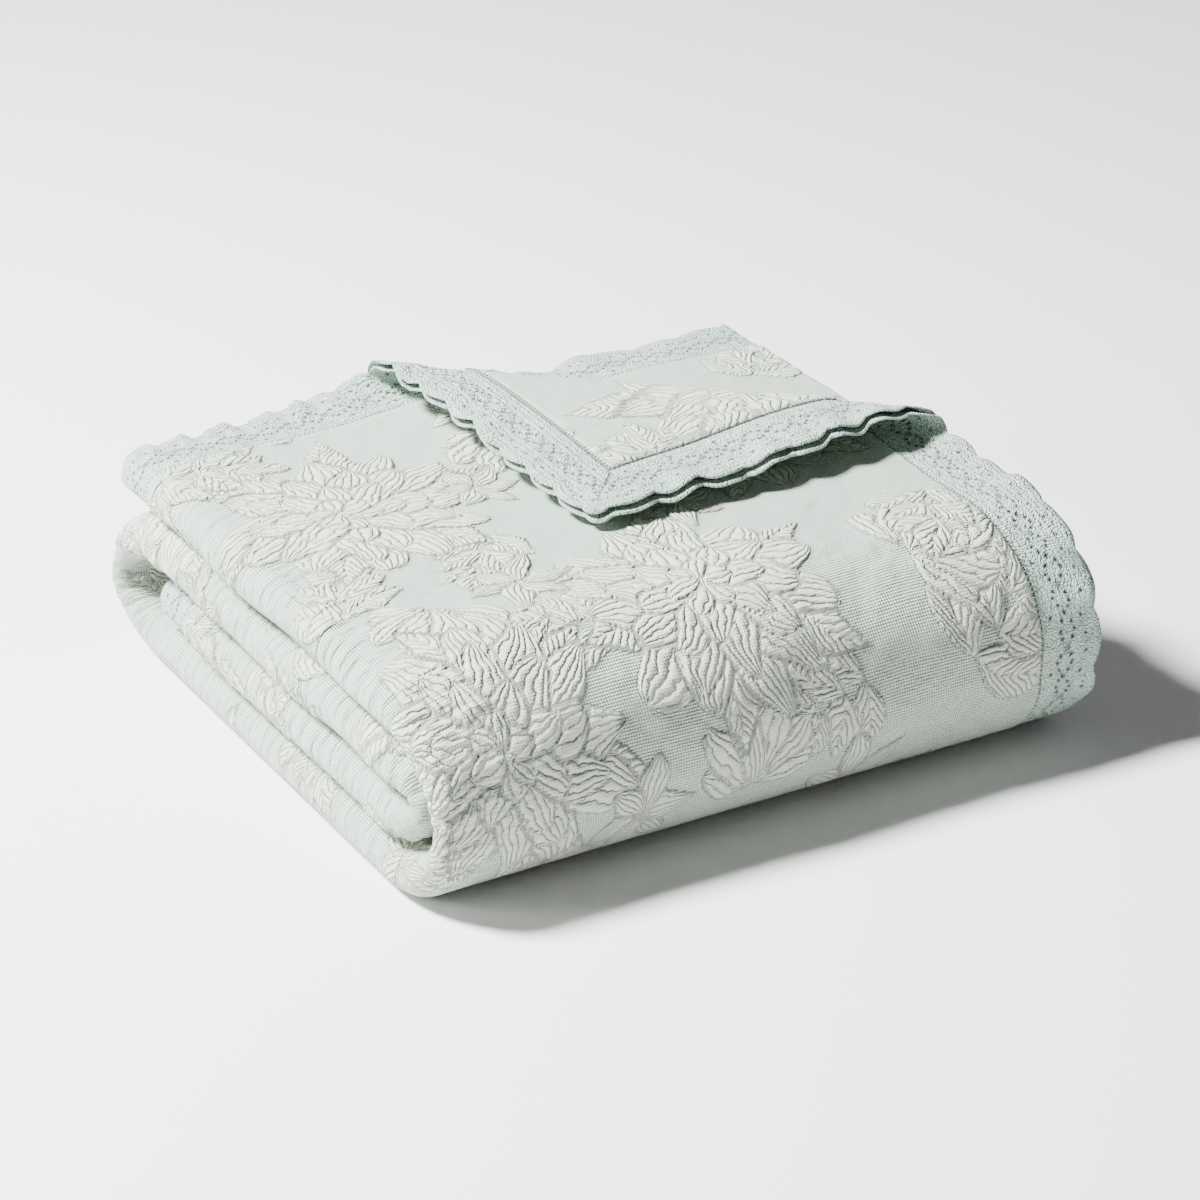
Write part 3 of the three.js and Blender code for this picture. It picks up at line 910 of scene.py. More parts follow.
@dataclass
class QuiltedCover:
    """The quilted cloth, as one closed sheet with a finely made face."""

    folding: Folding
    quilting: Quilting
    lace_width: float = 52.0
    fine: float = 2.8
    middling: float = 4.5
    coarse: float = 60.0
    turn_step: float = 10.0
    rim_width: float = 36.0
    rim_step: float = 4.5
    hidden_step: float = 9.0
    fold_step: float = 3.6
    outer_fold_step: float = 3.4
    between_bands: float = 1.0
    shown_across: float = 360.0
    third_shown_along: float = 350.0
    second_shown_along: float = 360.0
    hidden_columns: float = 40.0
    bottom_columns: float = 70.0
    # Where the columns beside the outer fold get coarser, and how far apart they lie before that
    beside_fold: tuple[tuple[float, float], ...] = ((30.0, 6.0), (60.0, 15.0))
    bottom_from: float = 75.0
    wide_band: int = 60
    thinned: int = 4
    seam_rise: float = 8.0
    wrinkled_over: float = 70.0
    covered_puffs: float = 0.6
    covered_creases: float = 0.25
    creases_at_seam: float = 0.3
    puckers_at_seam: float = 0.4

    def _rows(self, finely: float, step: float, beyond: float) -> Array:
        """Rows along the cut.

        Args:
            finely: how far along the rows lie close.
            step: the distance between them there.
            beyond: the distance between them on the passes further on; the turns have closer rows.

        Returns:
            The rows' places along the cut.
        """
        length = self.folding.cut_length - self.lace_width
        parts = [lines(self.lace_width, finely, step)]
        for span in self.folding.spans:
            low, high = max(span.begin, finely), min(span.begin + span.length, length)
            if high - low > 1:
                parts.append(lines(low, high, beyond if span.lies else min(beyond, self.turn_step)))
        return joined(*parts)

    def _bands(self) -> list[Band]:
        """The bands of the face: fine where the cloth shows, coarse where it is hidden.

        Returns:
            The bands side by side, from one side seam to the other.
        """
        fold, gap, shown = self.folding, self.between_bands, self.shown_across
        wrapped = fold.span("bottom").begin
        ends = {section.name: (section.begin, section.begin + section.length) for section in fold.sections}
        near_rim, fourth, third = ends["first"][1] - self.rim_width, ends["fourth"][0], ends["third"][0]
        second_shown = ends["second"][1] - shown
        rim_rows = self._rows(wrapped, self.fine, self.rim_step)
        hidden_rows = self._rows(wrapped, self.hidden_step, self.coarse)

        def over(name: str, step: float) -> Array:
            """Columns over one whole section, a little in from its ends."""
            return lines(ends[name][0] + gap, ends[name][1] - gap, step)

        (near, near_step), (far, far_step) = self.beside_fold
        beside_fold = joined(
            lines(fourth + gap, fourth + near, near_step), lines(fourth + near, fourth + far, far_step)
        )
        third_layer = joined(
            lines(third + gap, third + shown, self.middling),
            lines(third + shown, ends["third"][1] - gap, self.hidden_columns),
        )
        second_layer = joined(
            lines(ends["second"][0] + gap, second_shown, self.hidden_columns),
            lines(second_shown, fold.cut_width - self.lace_width, self.middling),
        )
        bottom = lines(fourth + self.bottom_from, ends["fourth"][1] - gap, self.bottom_columns)
        return [
            Band(lines(self.lace_width, near_rim, self.fine), self._rows(wrapped, self.fine, self.coarse)),
            Band(lines(near_rim + self.fine, ends["first"][1] - gap, self.fine), rim_rows),
            Band(over("outer fold", self.outer_fold_step), rim_rows),
            Band(beside_fold, self._rows(wrapped, self.rim_step, self.rim_step)),
            Band(bottom, hidden_rows),
            Band(over("right fold", self.fold_step), hidden_rows),
            Band(third_layer, self._rows(self.third_shown_along, self.middling, self.coarse)),
            Band(over("inner fold", self.fold_step), hidden_rows),
            Band(second_layer, self._rows(self.second_shown_along, self.middling, self.coarse)),
        ]

    @staticmethod
    def _sheet(bands: list[Band], first: int, faces: list) -> int:
        """Numbers the points of one side and adds its faces, which look towards the quilted face.

        Args:
            bands: the bands of that side, side by side.
            first: the number of its first point.
            faces: the list that the new faces are added to.

        Returns:
            The number that follows its last point's.
        """
        for band in bands:
            band.first = first
            first += len(band.columns) * len(band.rows)
            at = band.numbers()
            quads = np.stack([at[:-1, :-1], at[:-1, 1:], at[1:, 1:], at[1:, :-1]], axis=-1)
            faces.extend(quads.reshape(-1, 4).tolist())
        for left, right in zip(bands, bands[1:]):
            faces.extend(zipped(left.rows, left.numbers()[:, -1], right.rows, right.numbers()[:, 0]))
        return first

    @staticmethod
    def _points(bands: list[Band]) -> tuple[Array, Array]:
        """Places across and along of every point of one side.

        Args:
            bands: the bands of that side, side by side.

        Returns:
            The places across and the places along.
        """
        across = [np.tile(band.columns, len(band.rows)) for band in bands]
        along = [np.repeat(band.rows, len(band.columns)) for band in bands]
        return np.concatenate(across), np.concatenate(along)

    def _rims(self, front: list[Band], back: list[Band], faces: list) -> None:
        """Closes the sheet along its four edges.

        Args:
            front, back: the bands of the sheet's two sides.
            faces: the list that the new faces are added to.
        """
        for left, right, column in ((back[0], front[0], 0), (front[-1], back[-1], -1)):
            left_line, right_line = left.numbers()[:, column], right.numbers()[:, column]
            faces.extend(zipped(left.rows, left_line, right.rows, right_line))
        for row, face_first in ((0, True), (-1, False)):
            sides = [
                (np.concatenate([band.columns for band in bands]),
                 np.concatenate([band.numbers()[row] for band in bands]))
                for bands in (front, back)
            ]
            first, second = sides if face_first else sides[::-1]
            faces.extend(zipped(*first, *second))

    def _from_seams(self, across: Array, along: Array) -> tuple[Array, Array]:
        """Distances to the nearest side seam and to the nearest end seam with the lace.

        Args:
            across, along: places on the cut.

        Returns:
            The distances to a side seam and those to an end seam.
        """
        fold, inset = self.folding, self.lace_width
        aside = np.minimum(across - inset, fold.cut_width - inset - across)
        return aside, np.minimum(along - inset, fold.cut_length - inset - along)

    def _lift(self, across: Array, along: Array, outline: Array, channel: Array) -> Array:
        """How far the quilted face lies off the cloth's middle, in millimetres.

        Args:
            across, along: places on the cut.
            outline, channel: the stitching there, as Quilting.pattern gives it.

        Returns:
            The distance at each place.
        """
        fold = self.folding
        strip = fold.strip(along, fold.side(across))
        outermost = fold.within(across, "first", "outer fold")
        free = np.where(outermost, fold.off_floor(strip.z, 40), 1 - strip.bent)
        covered = fold.within(across, "third", "second") & ~strip.on_top
        free = np.where(covered, free * self.covered_puffs, free)
        aside, ahead = self._from_seams(across, along)
        seam = ease(aside / self.seam_rise) * ease(ahead / self.seam_rise)
        lift = fold.half + free * seam * self.quilting.puff(outline, channel)
        first = fold.within(across, "first")
        covered_face = self.covered_creases * fold.off_floor(strip.z, 20)
        creased = np.where(first, ease((strip.z - 20) / 60), covered_face)
        lift = lift + creased * creases(across, along) * mix(self.creases_at_seam, 1.0, seam)
        rimmed = fold.within(across, "first", "outer fold", "fourth") & (strip.z > 12)
        wrinkled = puckers(across, along, self._rim_middle()) * fold.off_floor(strip.z)
        return lift + np.where(rimmed, wrinkled * mix(self.puckers_at_seam, 1.0, seam), 0.0)

    def _rim_middle(self) -> float:
        """The place across of the outer fold's middle."""
        rim = self.folding.section("outer fold")
        return rim.begin + rim.length / 2

    def build(self) -> bpy.types.Object:
        """Makes the closed sheet with its puffed flowers.

        Returns:
            The cover as one piece.
        """
        fold = self.folding
        front = self._bands()
        back = [
            band.thinned(self.thinned if len(band.columns) > self.wide_band else 2, self.thinned)
            for band in front
        ]
        faces: list = []
        count = self._sheet(front, 0, faces)
        back_faces: list = []
        self._sheet(back, count, back_faces)
        faces.extend([face[::-1] for face in back_faces])
        self._rims(front, back, faces)
        across, along = (np.concatenate(both) for both in zip(self._points(front), self._points(back)))
        outline, channel = self.quilting.pattern(across, along)
        lift = np.full(across.shape, -fold.half)
        lift[:count] = self._lift(across[:count], along[:count], outline[:count], channel[:count])
        cover = smooth_mesh("quilted_cover", fold.place(across, along, lift), faces)
        store_value(cover, "outline", outline)
        store_value(cover, "channel", channel)
        store_value(cover, "wrinkled", np.exp(-(((across - self._rim_middle()) / self.wrinkled_over) ** 2)))
        # The material reads this distance to flatten the relief and to paint a shadow along the seam
        store_value(cover, "seam", np.minimum(*self._from_seams(across, along)))
        store_cut(cover, across, along)
        return cover


@dataclass(frozen=True)
class Eyelet:
    """A hole in the lace: its place in one scallop, its depth from the free edge and its radius."""

    line: float
    inward: float
    radius: float

    def at(self, angle: float, away: float) -> Vector:
        """The point at that angle and distance from its middle."""
        return Vector((self.line + away * math.cos(angle), self.inward + away * math.sin(angle)))

    def away(self, line: float, inward: float) -> float:
        """How far a point lies from its middle."""
        return math.hypot(line - self.line, inward - self.inward)


class Mitre(Enum):
    """Which end of its strip a stretch of lace makes up."""

    FIRST = "the strip's first end"
    LAST = "the strip's last end"
    NONE = "neither end"


@dataclass(frozen=True)
class Stretch:
    """A stretch of the flat strip of lace, cut along the mitre where it is an end.

    low and high are where it begins and ends along the strip, and whole is the strip's length.
    """

    low: float
    high: float
    whole: float
    gap: float
    mitre: Mitre = Mitre.NONE

    def limit(self, inward: float) -> tuple[float, float]:
        """Where it begins and ends at one distance from the free edge.

        Args:
            inward: the distance from the free edge.

        Returns:
            The two places along the strip.
        """
        if self.mitre is Mitre.FIRST:
            return max(self.low, inward + self.gap), self.high
        if self.mitre is Mitre.LAST:
            return self.low, min(self.high, self.whole - inward - self.gap)
        return self.low, self.high


@dataclass
class LaceBorder:
    """The crocheted strips round the cut, with their scallops and eyelets."""

    folding: Folding
    width: float = 52.0
    thickness: float = 1.8
    scallop: float = 40.0
    scallop_depth: float = 5.0
    seam_gap: float = 0.8
    flare: float = 6.5
    flare_start: float = 338.0
    ruffle: float = 1.9
    corner: float = 24.0
    collar: float = 0.85
    grid: float = 4.6
    grid_start: float = 6.5
    edge_step: float = 2.5
    hole_sides: int = 7
    hole_unevenness: float = 0.14
    hole_margin: float = 1.2
    grid_clearance: float = 1.3
    end_clearance: float = 1.5
    inner_share: float = 0.72
    rim_share: float = 1.16
    edge_thickness: float = 0.75
    thin_over: float = 6.0
    scallops_followed: float = 24.0
    flare_rises: float = 70.0
    flare_falls: float = 110.0
    strip_width: float = 570.0
    eyelets: tuple[Eyelet, ...] = (
        Eyelet(0, 30, 1.9), Eyelet(5, 34.4, 1.3), Eyelet(5.4, 25.6, 1.2), Eyelet(10, 36.4, 1.2),
        Eyelet(10.6, 24, 1.35), Eyelet(15.4, 34, 1.25), Eyelet(15, 26, 1.2), Eyelet(20, 30.4, 1.75),
        Eyelet(25.2, 25.8, 1.25), Eyelet(24.8, 34.2, 1.35), Eyelet(30, 23.8, 1.2), Eyelet(30.6, 36.2, 1.3),
        Eyelet(35, 26, 1.35), Eyelet(34.8, 34.6, 1.15), Eyelet(20, 42.4, 1.15), Eyelet(-0.6, 42, 1.1),
        Eyelet(0, 11, 1.25), Eyelet(7, 13.6, 1.1), Eyelet(-7, 13.2, 1.1), Eyelet(19.4, 16.4, 1.1),
    )

    def _pitch(self, whole: float) -> float:
        """Length of one scallop where a whole number of them fills the strip."""
        return whole / round(whole / self.scallop)

    def edge(self, line: Value, whole: float) -> Value:
        """How far the scalloped edge lies in from the lace's full width."""
        arch = np.abs(np.cos(math.pi * np.asarray(line) / self._pitch(whole)))
        return self.scallop_depth * (1 - arch) ** 1.3

    def _flat(self, whole: float) -> tuple[Array, list[tuple[int, int, int]]]:
        """The flat strip with its holes: points of line and inward, and triangles.

        The two ends are two scallops long each, and one scallop is repeated between them.

        Args:
            whole: the length of the side that the strip lies on.

        Returns:
            The points and the triangles.
        """
        pitch, gap = self._pitch(whole), self.seam_gap / 2
        pieces = [
            self._patch(Stretch(0.0, 2 * pitch, whole, gap, Mitre.FIRST)),
            self._patch(Stretch(whole - 2 * pitch, whole, whole, gap, Mitre.LAST)),
        ]
        unit, triangles = self._patch(Stretch(2 * pitch, 3 * pitch, whole, gap))
        for step in range(round(whole / self.scallop) - 4):
            pieces.append((unit + [step * pitch, 0.0], triangles))
        points = np.concatenate([piece[0] for piece in pieces])
        firsts = np.cumsum([0] + [len(piece[0]) for piece in pieces[:-1]])
        made = np.concatenate([np.array(piece[1]) + first for piece, first in zip(pieces, firsts)])
        key = np.round(points, 2)
        _, index, inverse = np.unique(key, axis=0, return_index=True, return_inverse=True)
        made = inverse.reshape(-1)[made]
        a, b, c = made.T
        made = made[(a != b) & (b != c) & (c != a)]
        return points[index], made.tolist()

    def _outline(self, cut: Stretch) -> list[tuple[float, float]]:
        """The stretch's outline as line and inward, from its free edge round to its seam and back.

        Args:
            cut: the stretch of lace.

        Returns:
            The outline's points in order.
        """
        seam, stretch = self.width - self.seam_gap, self._pitch(cut.whole) / self.scallop
        count = round((cut.high - cut.low) / stretch / self.edge_step)
        steps = np.round(np.arange(count + 1) * self.edge_step * stretch + cut.low, 4)
        steps[-1] = cut.high
        free = []
        for line in steps:
            begin, finish = cut.limit(float(self.edge(line, cut.whole)))
            if begin <= line + 1e-6 and line <= finish + 1e-6:
                free.append(line)
        if cut.mitre is Mitre.FIRST:
            corner = cut.low + cut.gap
            free = [corner, *[line for line in free if line > corner + 1.0]]
        if cut.mitre is Mitre.LAST:
            corner = cut.high - cut.gap
            free = [*[line for line in free if line < corner - 1.0], corner]
        outline = [(line, float(self.edge(line, cut.whole))) for line in free]
        inner = np.linspace(0, seam, round(seam / self.grid) + 1)
        edge_first, edge_last = outline[0][1] + 0.5, outline[-1][1] + 0.5
        outline.extend((cut.limit(at)[1], float(at)) for at in inner[1:-1] if at > edge_last)
        start, end = cut.limit(seam)
        foot = [line for line in steps if start + 1.0 < line < end - 1.0]
        outline.extend((line, seam) for line in [end, *foot[::-1], start])
        outline.extend((cut.limit(at)[0], float(at)) for at in inner[-2:0:-1] if at > edge_first)
        return outline

    def _holes(self, cut: Stretch) -> list[Eyelet]:
        """The eyelets of every scallop that lie well inside the stretch.

        Args:
            cut: the stretch of lace.

        Returns:
            Those eyelets.
        """
        pitch, margin = self._pitch(cut.whole), self.hole_margin
        stretch = pitch / self.scallop
        holes = []
        for number in range(int(cut.low // pitch) - 1, int(cut.high // pitch) + 2):
            for hole in self.eyelets:
                line = number * pitch + hole.line * stretch
                begin, finish = cut.limit(hole.inward)
                inside = begin + hole.radius + margin < line < finish - hole.radius - margin
                if inside and cut.low <= line < cut.high:
                    holes.append(Eyelet(line, hole.inward, hole.radius))
        return holes

    def _patch(self, cut: Stretch) -> tuple[Array, list[tuple[int, int, int]]]:
        """The points of line and inward and the triangles of one stretch, with its holes left open.

        Args:
            cut: the stretch of lace.

        Returns:
            The points and the triangles.
        """
        points = [Vector(point) for point in self._outline(cut)]
        edges = [(i, (i + 1) % len(points)) for i in range(len(points))]
        holes, sides = self._holes(cut), self.hole_sides
        turns = [2 * math.pi * (k + 0.25) / sides for k in range(sides)]
        for hole in holes:
            first = len(points)
            for angle in turns:
                uneven = 1 + self.hole_unevenness * math.sin(3 * angle + hole.line)
                points.append(hole.at(angle, hole.radius * uneven))
            edges.extend((first + k, first + (k + 1) % sides) for k in range(sides))
            points.extend(hole.at(angle, hole.radius + self.collar) for angle in turns)
        apart = self.end_clearance
        for inward in np.arange(self.grid_start, self.width - self.seam_gap - 2, self.grid):
            begin, finish = cut.limit(float(inward))
            for line in np.arange(cut.low + self.grid * 0.5, cut.high, self.grid):
                clear = all(hole.away(line, inward) > hole.radius + self.grid_clearance for hole in holes)
                if clear and begin + apart < line < finish - apart:
                    points.append(Vector((float(line), float(inward))))
        made, _, triangles, *_ = delaunay_2d_cdt(points, edges, [], 0, 1e-4)
        at = np.array([(point.x, point.y) for point in made])
        filled = [triangle for triangle in triangles if self._filled(at, triangle, cut, holes)]
        facing = [self._facing(at, triangle) for triangle in filled]
        return at, [triangle for triangle in facing if triangle]

    def _filled(self, at: Array, triangle: Sequence[int], cut: Stretch, holes: list[Eyelet]) -> bool:
        """Whether a triangle lies inside the stretch's outline and outside its holes.

        Args:
            at: the points' places on the flat strip.
            triangle: its three point numbers.
            cut: the stretch of lace.
            holes: the eyelets of that stretch.

        Returns:
            True for a triangle that is part of the lace.
        """
        line, inward = at[list(triangle)].mean(axis=0)
        begin, finish = cut.limit(float(inward))
        if inward < self.edge(line, cut.whole) - 0.02 or not begin - 0.02 < line < finish + 0.02:
            return False
        return not any(hole.away(line, inward) < hole.radius * self.inner_share for hole in holes)

    @staticmethod
    def _facing(at: Array, triangle: Sequence[int]) -> tuple[int, ...]:
        """The triangle turned to face up, or nothing where it has no area.

        Args:
            at: the points' places on the flat strip.
            triangle: its three point numbers.

        Returns:
            The three point numbers, or none.
        """
        a, b, c = (at[i] for i in triangle)
        area = (b[0] - a[0]) * (c[1] - a[1]) - (c[0] - a[0]) * (b[1] - a[1])
        if abs(area) < 1e-3:
            return ()
        return tuple(triangle) if area > 0 else tuple(triangle[::-1])

    def strip(
        self, name: str, whole: float, turned: bool, cut: Callable[[Array, Array], tuple[Array, Array]]
    ) -> bpy.types.Object:
        """Makes one strip of the border as a closed sheet with its holes cut through.

        Args:
            name: the piece's name.
            whole: the length of the side that it lies on.
            turned: whether line and inward run the other way round than across and along.
            cut: takes line and inward to across and along.

        Returns:
            The strip as one piece.
        """
        flat, triangles = self._flat(whole)
        line, inward = flat[:, 0], flat[:, 1]
        if turned:
            triangles = [triangle[::-1] for triangle in triangles]
        count = len(flat)
        across, along = self._rounded(*cut(*self._uneven(line, inward, whole)))
        lift = self._stand_off(across, along) + self._ruffled(across, along, inward)
        half = self.thickness / 2 * mix(self.edge_thickness, 1.0, ease(inward / self.thin_over))
        faces = [tuple(t) for t in triangles] + [(c + count, b + count, a + count) for a, b, c in triangles]
        directed = {(a, b) for t in triangles for a, b in zip(t, (*t[1:], t[0]))}
        faces += [(b, a, a + count, b + count) for a, b in directed if (b, a) not in directed]
        points = np.concatenate([self.folding.place(across, along, lift + off) for off in (half, -half)])
        piece = smooth_mesh(name, points, faces)
        followed = inward - self.edge(line, whole) * ease(1 - inward / self.scallops_followed)
        store_cut(piece, np.tile(line, 2), np.tile(followed, 2))
        # The material reads this distance for a raised rim and for painted shade round each eyelet and along
        # the seam
        store_value(piece, "rim", np.tile(self._from_holes(line, inward, whole), 2))
        return piece

    def _uneven(self, line: Array, inward: Array, whole: float) -> tuple[Array, Array]:
        """Shifts the work a little along and across, as hand-guided rows are never quite even.

        Args:
            line, inward: places along the strip and in from its free edge.
            whole: the length of the side that the strip lies on.

        Returns:
            The shifted line and inward.
        """
        free = ease(inward / 14) * ease((self.width - 4 - inward) / 10)
        free = free * ease((line - 70) / 40) * ease((whole - 70 - line) / 40)
        ahead = 1.5 * np.sin(line / 8.7 + inward / 6.1) + 1.1 * np.sin(line / 19.3 - inward / 9.2)
        aside = 1.3 * np.sin(line / 10.9 + 1.7) * np.cos(inward / 8.3 + line / 31)
        return line + ahead * free, inward + aside * free

    def _from_holes(self, line: Array, inward: Array, whole: float) -> Array:
        """Distance from the nearest eyelet's rim or from the seam, in millimetres.

        Args:
            line, inward: places along the strip and in from its free edge.
            whole: the length of the side that the strip lies on.

        Returns:
            The distance at each place.
        """
        pitch = self._pitch(whole)
        nearest = np.maximum(self.width - self.seam_gap - inward, 0.0) + 0.1
        for hole in self.eyelets:
            aside = nearest_repeat(line - hole.line * pitch / self.scallop, pitch)
            away = np.hypot(aside, inward - hole.inward)
            nearest = np.minimum(nearest, away - hole.radius * self.rim_share)
        return np.maximum(nearest, 0.0)

    def _rounded(self, across: Array, along: Array) -> tuple[Array, Array]:
        """Draws the square corners of the cut in to soft round ones.

        Args:
            across, along: places on the cut.

        Returns:
            The places across and along after that.
        """
        fold, reach = self.folding, self.corner
        u, v = across.copy(), along.copy()
        for from_first in (True, False):
            for from_outer in (True, False):
                a = u if from_first else fold.cut_width - u
                b = v if from_outer else fold.cut_length - v
                here = (a < reach) & (b < reach)
                da, db = reach - a[here], reach - b[here]
                size = np.maximum(da, db) / np.maximum(np.hypot(da, db), 1e-6)
                new_a, new_b = reach - da * size, reach - db * size
                u[here] = new_a if from_first else fold.cut_width - new_a
                v[here] = new_b if from_outer else fold.cut_length - new_b
        return u, v

    def _stand_off(self, across: Array, along: Array) -> Array:
        """How far the first strip's free edge stands off where it goes round the front.

        Args:
            across, along: places on the cut.

        Returns:
            The distance at each place, in millimetres.
        """
        wrap = self.folding.span("front wrap")
        outward = ease(1 - across / self.width)
        last = wrap.begin + wrap.length * 0.9
        rising = ease((along - self.flare_start) / self.flare_rises)
        round_it = rising * ease((last - along) / self.flare_falls)
        return np.where(across < self.width, self.flare * outward * round_it, 0.0)

    def _ruffled(self, across: Array, along: Array, inward: Array) -> Array:
        """How the free edges wave up and down, layers that lie together doing so together.

        Args:
            across, along: places on the cut.
            inward: the places' distances from the free edge.

        Returns:
            The height of the wave at each place, in millimetres.
        """
        fold = self.folding
        side = fold.side(across)
        strip = fold.strip(along, side)
        index = fold.section_index(across)
        face = np.array([section.face for section in fold.sections])[index]
        flat = np.array([section.kind is Kind.LAYER for section in fold.sections])[index]
        edge = np.minimum(across, fold.cut_width - across) < self.width + 1
        at = np.where(edge, along, side * self.strip_width)
        wave = np.sin(at / 9.3 + 0.9 * np.sin(at / 41)) + 0.7 * np.sin(at / 5.6 + 1) + 0.5 * np.sin(at / 17)
        lifted = fold.within(across, "first") & (strip.z > 50)
        shown = np.where(strip.on_top | lifted, 1.0, 0.4) * (1 - 0.6 * strip.bent)
        shown = shown * fold.off_floor(strip.z)
        return self.ruffle * wave * face * flat * shown * ease(1 - inward / self.width) ** 1.4

    def build(self) -> dict[str, bpy.types.Object]:
        """Makes the four strips, named for the sides of the cut that they lie on.

        Returns:
            The strips by those names.
        """
        width, length = self.folding.cut_width, self.folding.cut_length
        return {
            "lace_first_side": self.strip(
                "lace_on_first_side", length, True, lambda line, inward: (inward, line)),
            "lace_second_side": self.strip(
                "lace_on_second_side", length, False, lambda line, inward: (width - inward, line)),
            "lace_outer_end": self.strip(
                "lace_on_outer_end", width, False, lambda line, inward: (line, inward)),
            "lace_inner_end": self.strip(
                "lace_on_inner_end", width, True, lambda line, inward: (line, length - inward)),
        }


@dataclass
class Nodes:
    """Short ways to add and join nodes in one tree."""

    tree: bpy.types.NodeTree

    def node(self, kind: str, **values: object) -> bpy.types.Node:
        """Adds a node and sets its own properties.

        Args:
            kind: the node's type.
            values: its properties by name.

        Returns:
            The node.
        """
        made = self.tree.nodes.new(kind)
        for name, value in values.items():
            setattr(made, name, value)
        return made

    def join(self, source: object, target: Socket) -> None:
        """Joins a socket to another one, or sets a plain value on it."""
        if isinstance(source, bpy.types.NodeSocket):
            self.tree.links.new(source, target)
        else:
            target.default_value = source

    def fed(self, made: bpy.types.Node, **sources: object) -> bpy.types.Node:
        """The same node once its named inputs are joined or set; an underscore stands for a space."""
        for name, source in sources.items():
            self.join(source, made.inputs[name.replace("_", " ")])
        return made

    def math(self, operation: str, *sources: object) -> Socket:
        """One step of arithmetic.

        Args:
            operation: the step's name.
            sources: the numbers or sockets it takes.

        Returns:
            The socket of its result.
        """
        made = self.node("ShaderNodeMath", operation=operation)
        for socket, source in zip(made.inputs, sources):
            self.join(source, socket)
        return made.outputs[0]

    def times(self, first: object, second: object) -> Socket:
        """The product of two values."""
        return self.math("MULTIPLY", first, second)

    def ramp(self, value: object, low: float, high: float, start: float = 0.0, end: float = 1.0) -> Socket:
        """A smooth step from start to end as a value goes from low to high.

        Args:
            value: a number or socket.
            low, high: the values where the step begins and ends.
            start, end: what it gives at low and at high.

        Returns:
            The socket of its result.
        """
        made = self.node("ShaderNodeMapRange", interpolation_type="SMOOTHSTEP")
        for socket, source in zip(made.inputs, (value, low, high, start, end)):
            self.join(source, socket)
        return made.outputs[0]

    def noise(self, place: Socket, scale: float, detail: float) -> Socket:
        """Soft noise over a place, about 0.5."""
        made = self.fed(self.node("ShaderNodeTexNoise"), Vector=place, Scale=scale, Detail=detail)
        return made.outputs["Fac"]

    def swing(self, value: object, size: object = 1.0) -> Socket:
        """A value about 0.5 as a change of that size about 0."""
        return self.times(self.math("SUBTRACT", value, 0.5), size)

    def blend(self, share: object, low: object, high: object) -> Socket:
        """A mix of two colours.

        Args:
            share: how much of the second colour is mixed in.
            low, high: the first colour and the second.

        Returns:
            The socket of the mixed colour.
        """
        made = self.node("ShaderNodeMix", data_type="RGBA")
        self.join(share, made.inputs[0])
        self.join(low, made.inputs[6])
        self.join(high, made.inputs[7])
        return made.outputs[2]

    def stored(self, name: str) -> Socket:
        """A value that is kept on the mesh."""
        return self.node("ShaderNodeAttribute", attribute_name=name).outputs["Fac"]

    def cells(self, place: Socket, scale: float, randomness: float = 1.0) -> Socket:
        """Distance from the middles of small cells over a place."""
        made = self.node("ShaderNodeTexVoronoi", feature="F1", voronoi_dimensions="2D")
        return self.fed(made, Vector=place, Scale=scale, Randomness=randomness).outputs["Distance"]

    def scaled(self, place: Socket, sizes: tuple[float, float, float]) -> Socket:
        """A place multiplied by one number in each direction.

        Args:
            place: the socket of the place.
            sizes: the number in each direction.

        Returns:
            The socket of the scaled place.
        """
        made = self.node("ShaderNodeVectorMath", operation="MULTIPLY")
        self.join(place, made.inputs[0])
        self.join(sizes, made.inputs[1])
        return made.outputs[0]


def new_group(name: str, kind: str, inputs: dict[str, str], outputs: dict[str, str]) -> Nodes:
    """Starts a node group.

    Args:
        name, kind: its name and the kind of its tree.
        inputs, outputs: its sockets, each with the kind of value that it carries.

    Returns:
        The nodes of the new group.
    """
    tree = bpy.data.node_groups.new(name, kind)
    for way, sockets in (("INPUT", inputs), ("OUTPUT", outputs)):
        for socket, carries in sockets.items():
            tree.interface.new_socket(socket, in_out=way, socket_type=f"NodeSocket{carries}")
    return Nodes(tree)


def new_material(name: str) -> tuple[bpy.types.Material, Nodes, bpy.types.Node]:
    """Starts a material.

    Args:
        name: the material's name.

    Returns:
        The material, its nodes, and the node that is its surface.
    """
    made = bpy.data.materials.new(name)
    made.use_nodes = True
    return made, Nodes(made.node_tree), made.node_tree.nodes["Principled BSDF"]


def cotton_weave() -> bpy.types.NodeTree:
    """The fine bird's-eye weave that the ground and the flowers share.

    Returns:
        A group that takes the place on the cut and the threads for each metre, and puts out the
        height of the threads and how far each place lies between them.
    """
    s = new_group(
        "cotton_weave",
        "ShaderNodeTree",
        {"Place": "Vector", "Threads": "Float"},
        {"Height": "Float", "Between": "Float"},
    )
    given, put_out = s.node("NodeGroupInput"), s.node("NodeGroupOutput")
    scaled = s.node("ShaderNodeVectorMath", operation="SCALE")
    s.join(given.outputs["Place"], scaled.inputs[0])
    s.join(given.outputs["Threads"], scaled.inputs["Scale"])
    parts = s.node("ShaderNodeSeparateXYZ")
    s.join(scaled.outputs[0], parts.inputs[0])
    warp, weft = (
        s.math("SINE", s.times(s.math(way, parts.outputs[0], parts.outputs[1]), math.pi))
        for way in ("ADD", "SUBTRACT")
    )
    fluff = s.times(s.noise(given.outputs["Place"], 900, 2), 0.9)
    height = s.math("ADD", s.times(warp, weft), fluff)
    s.join(height, put_out.inputs["Height"])
    s.join(s.ramp(height, -0.2, 0.9, 1.0, 0.0), put_out.inputs["Between"])
    return s.tree


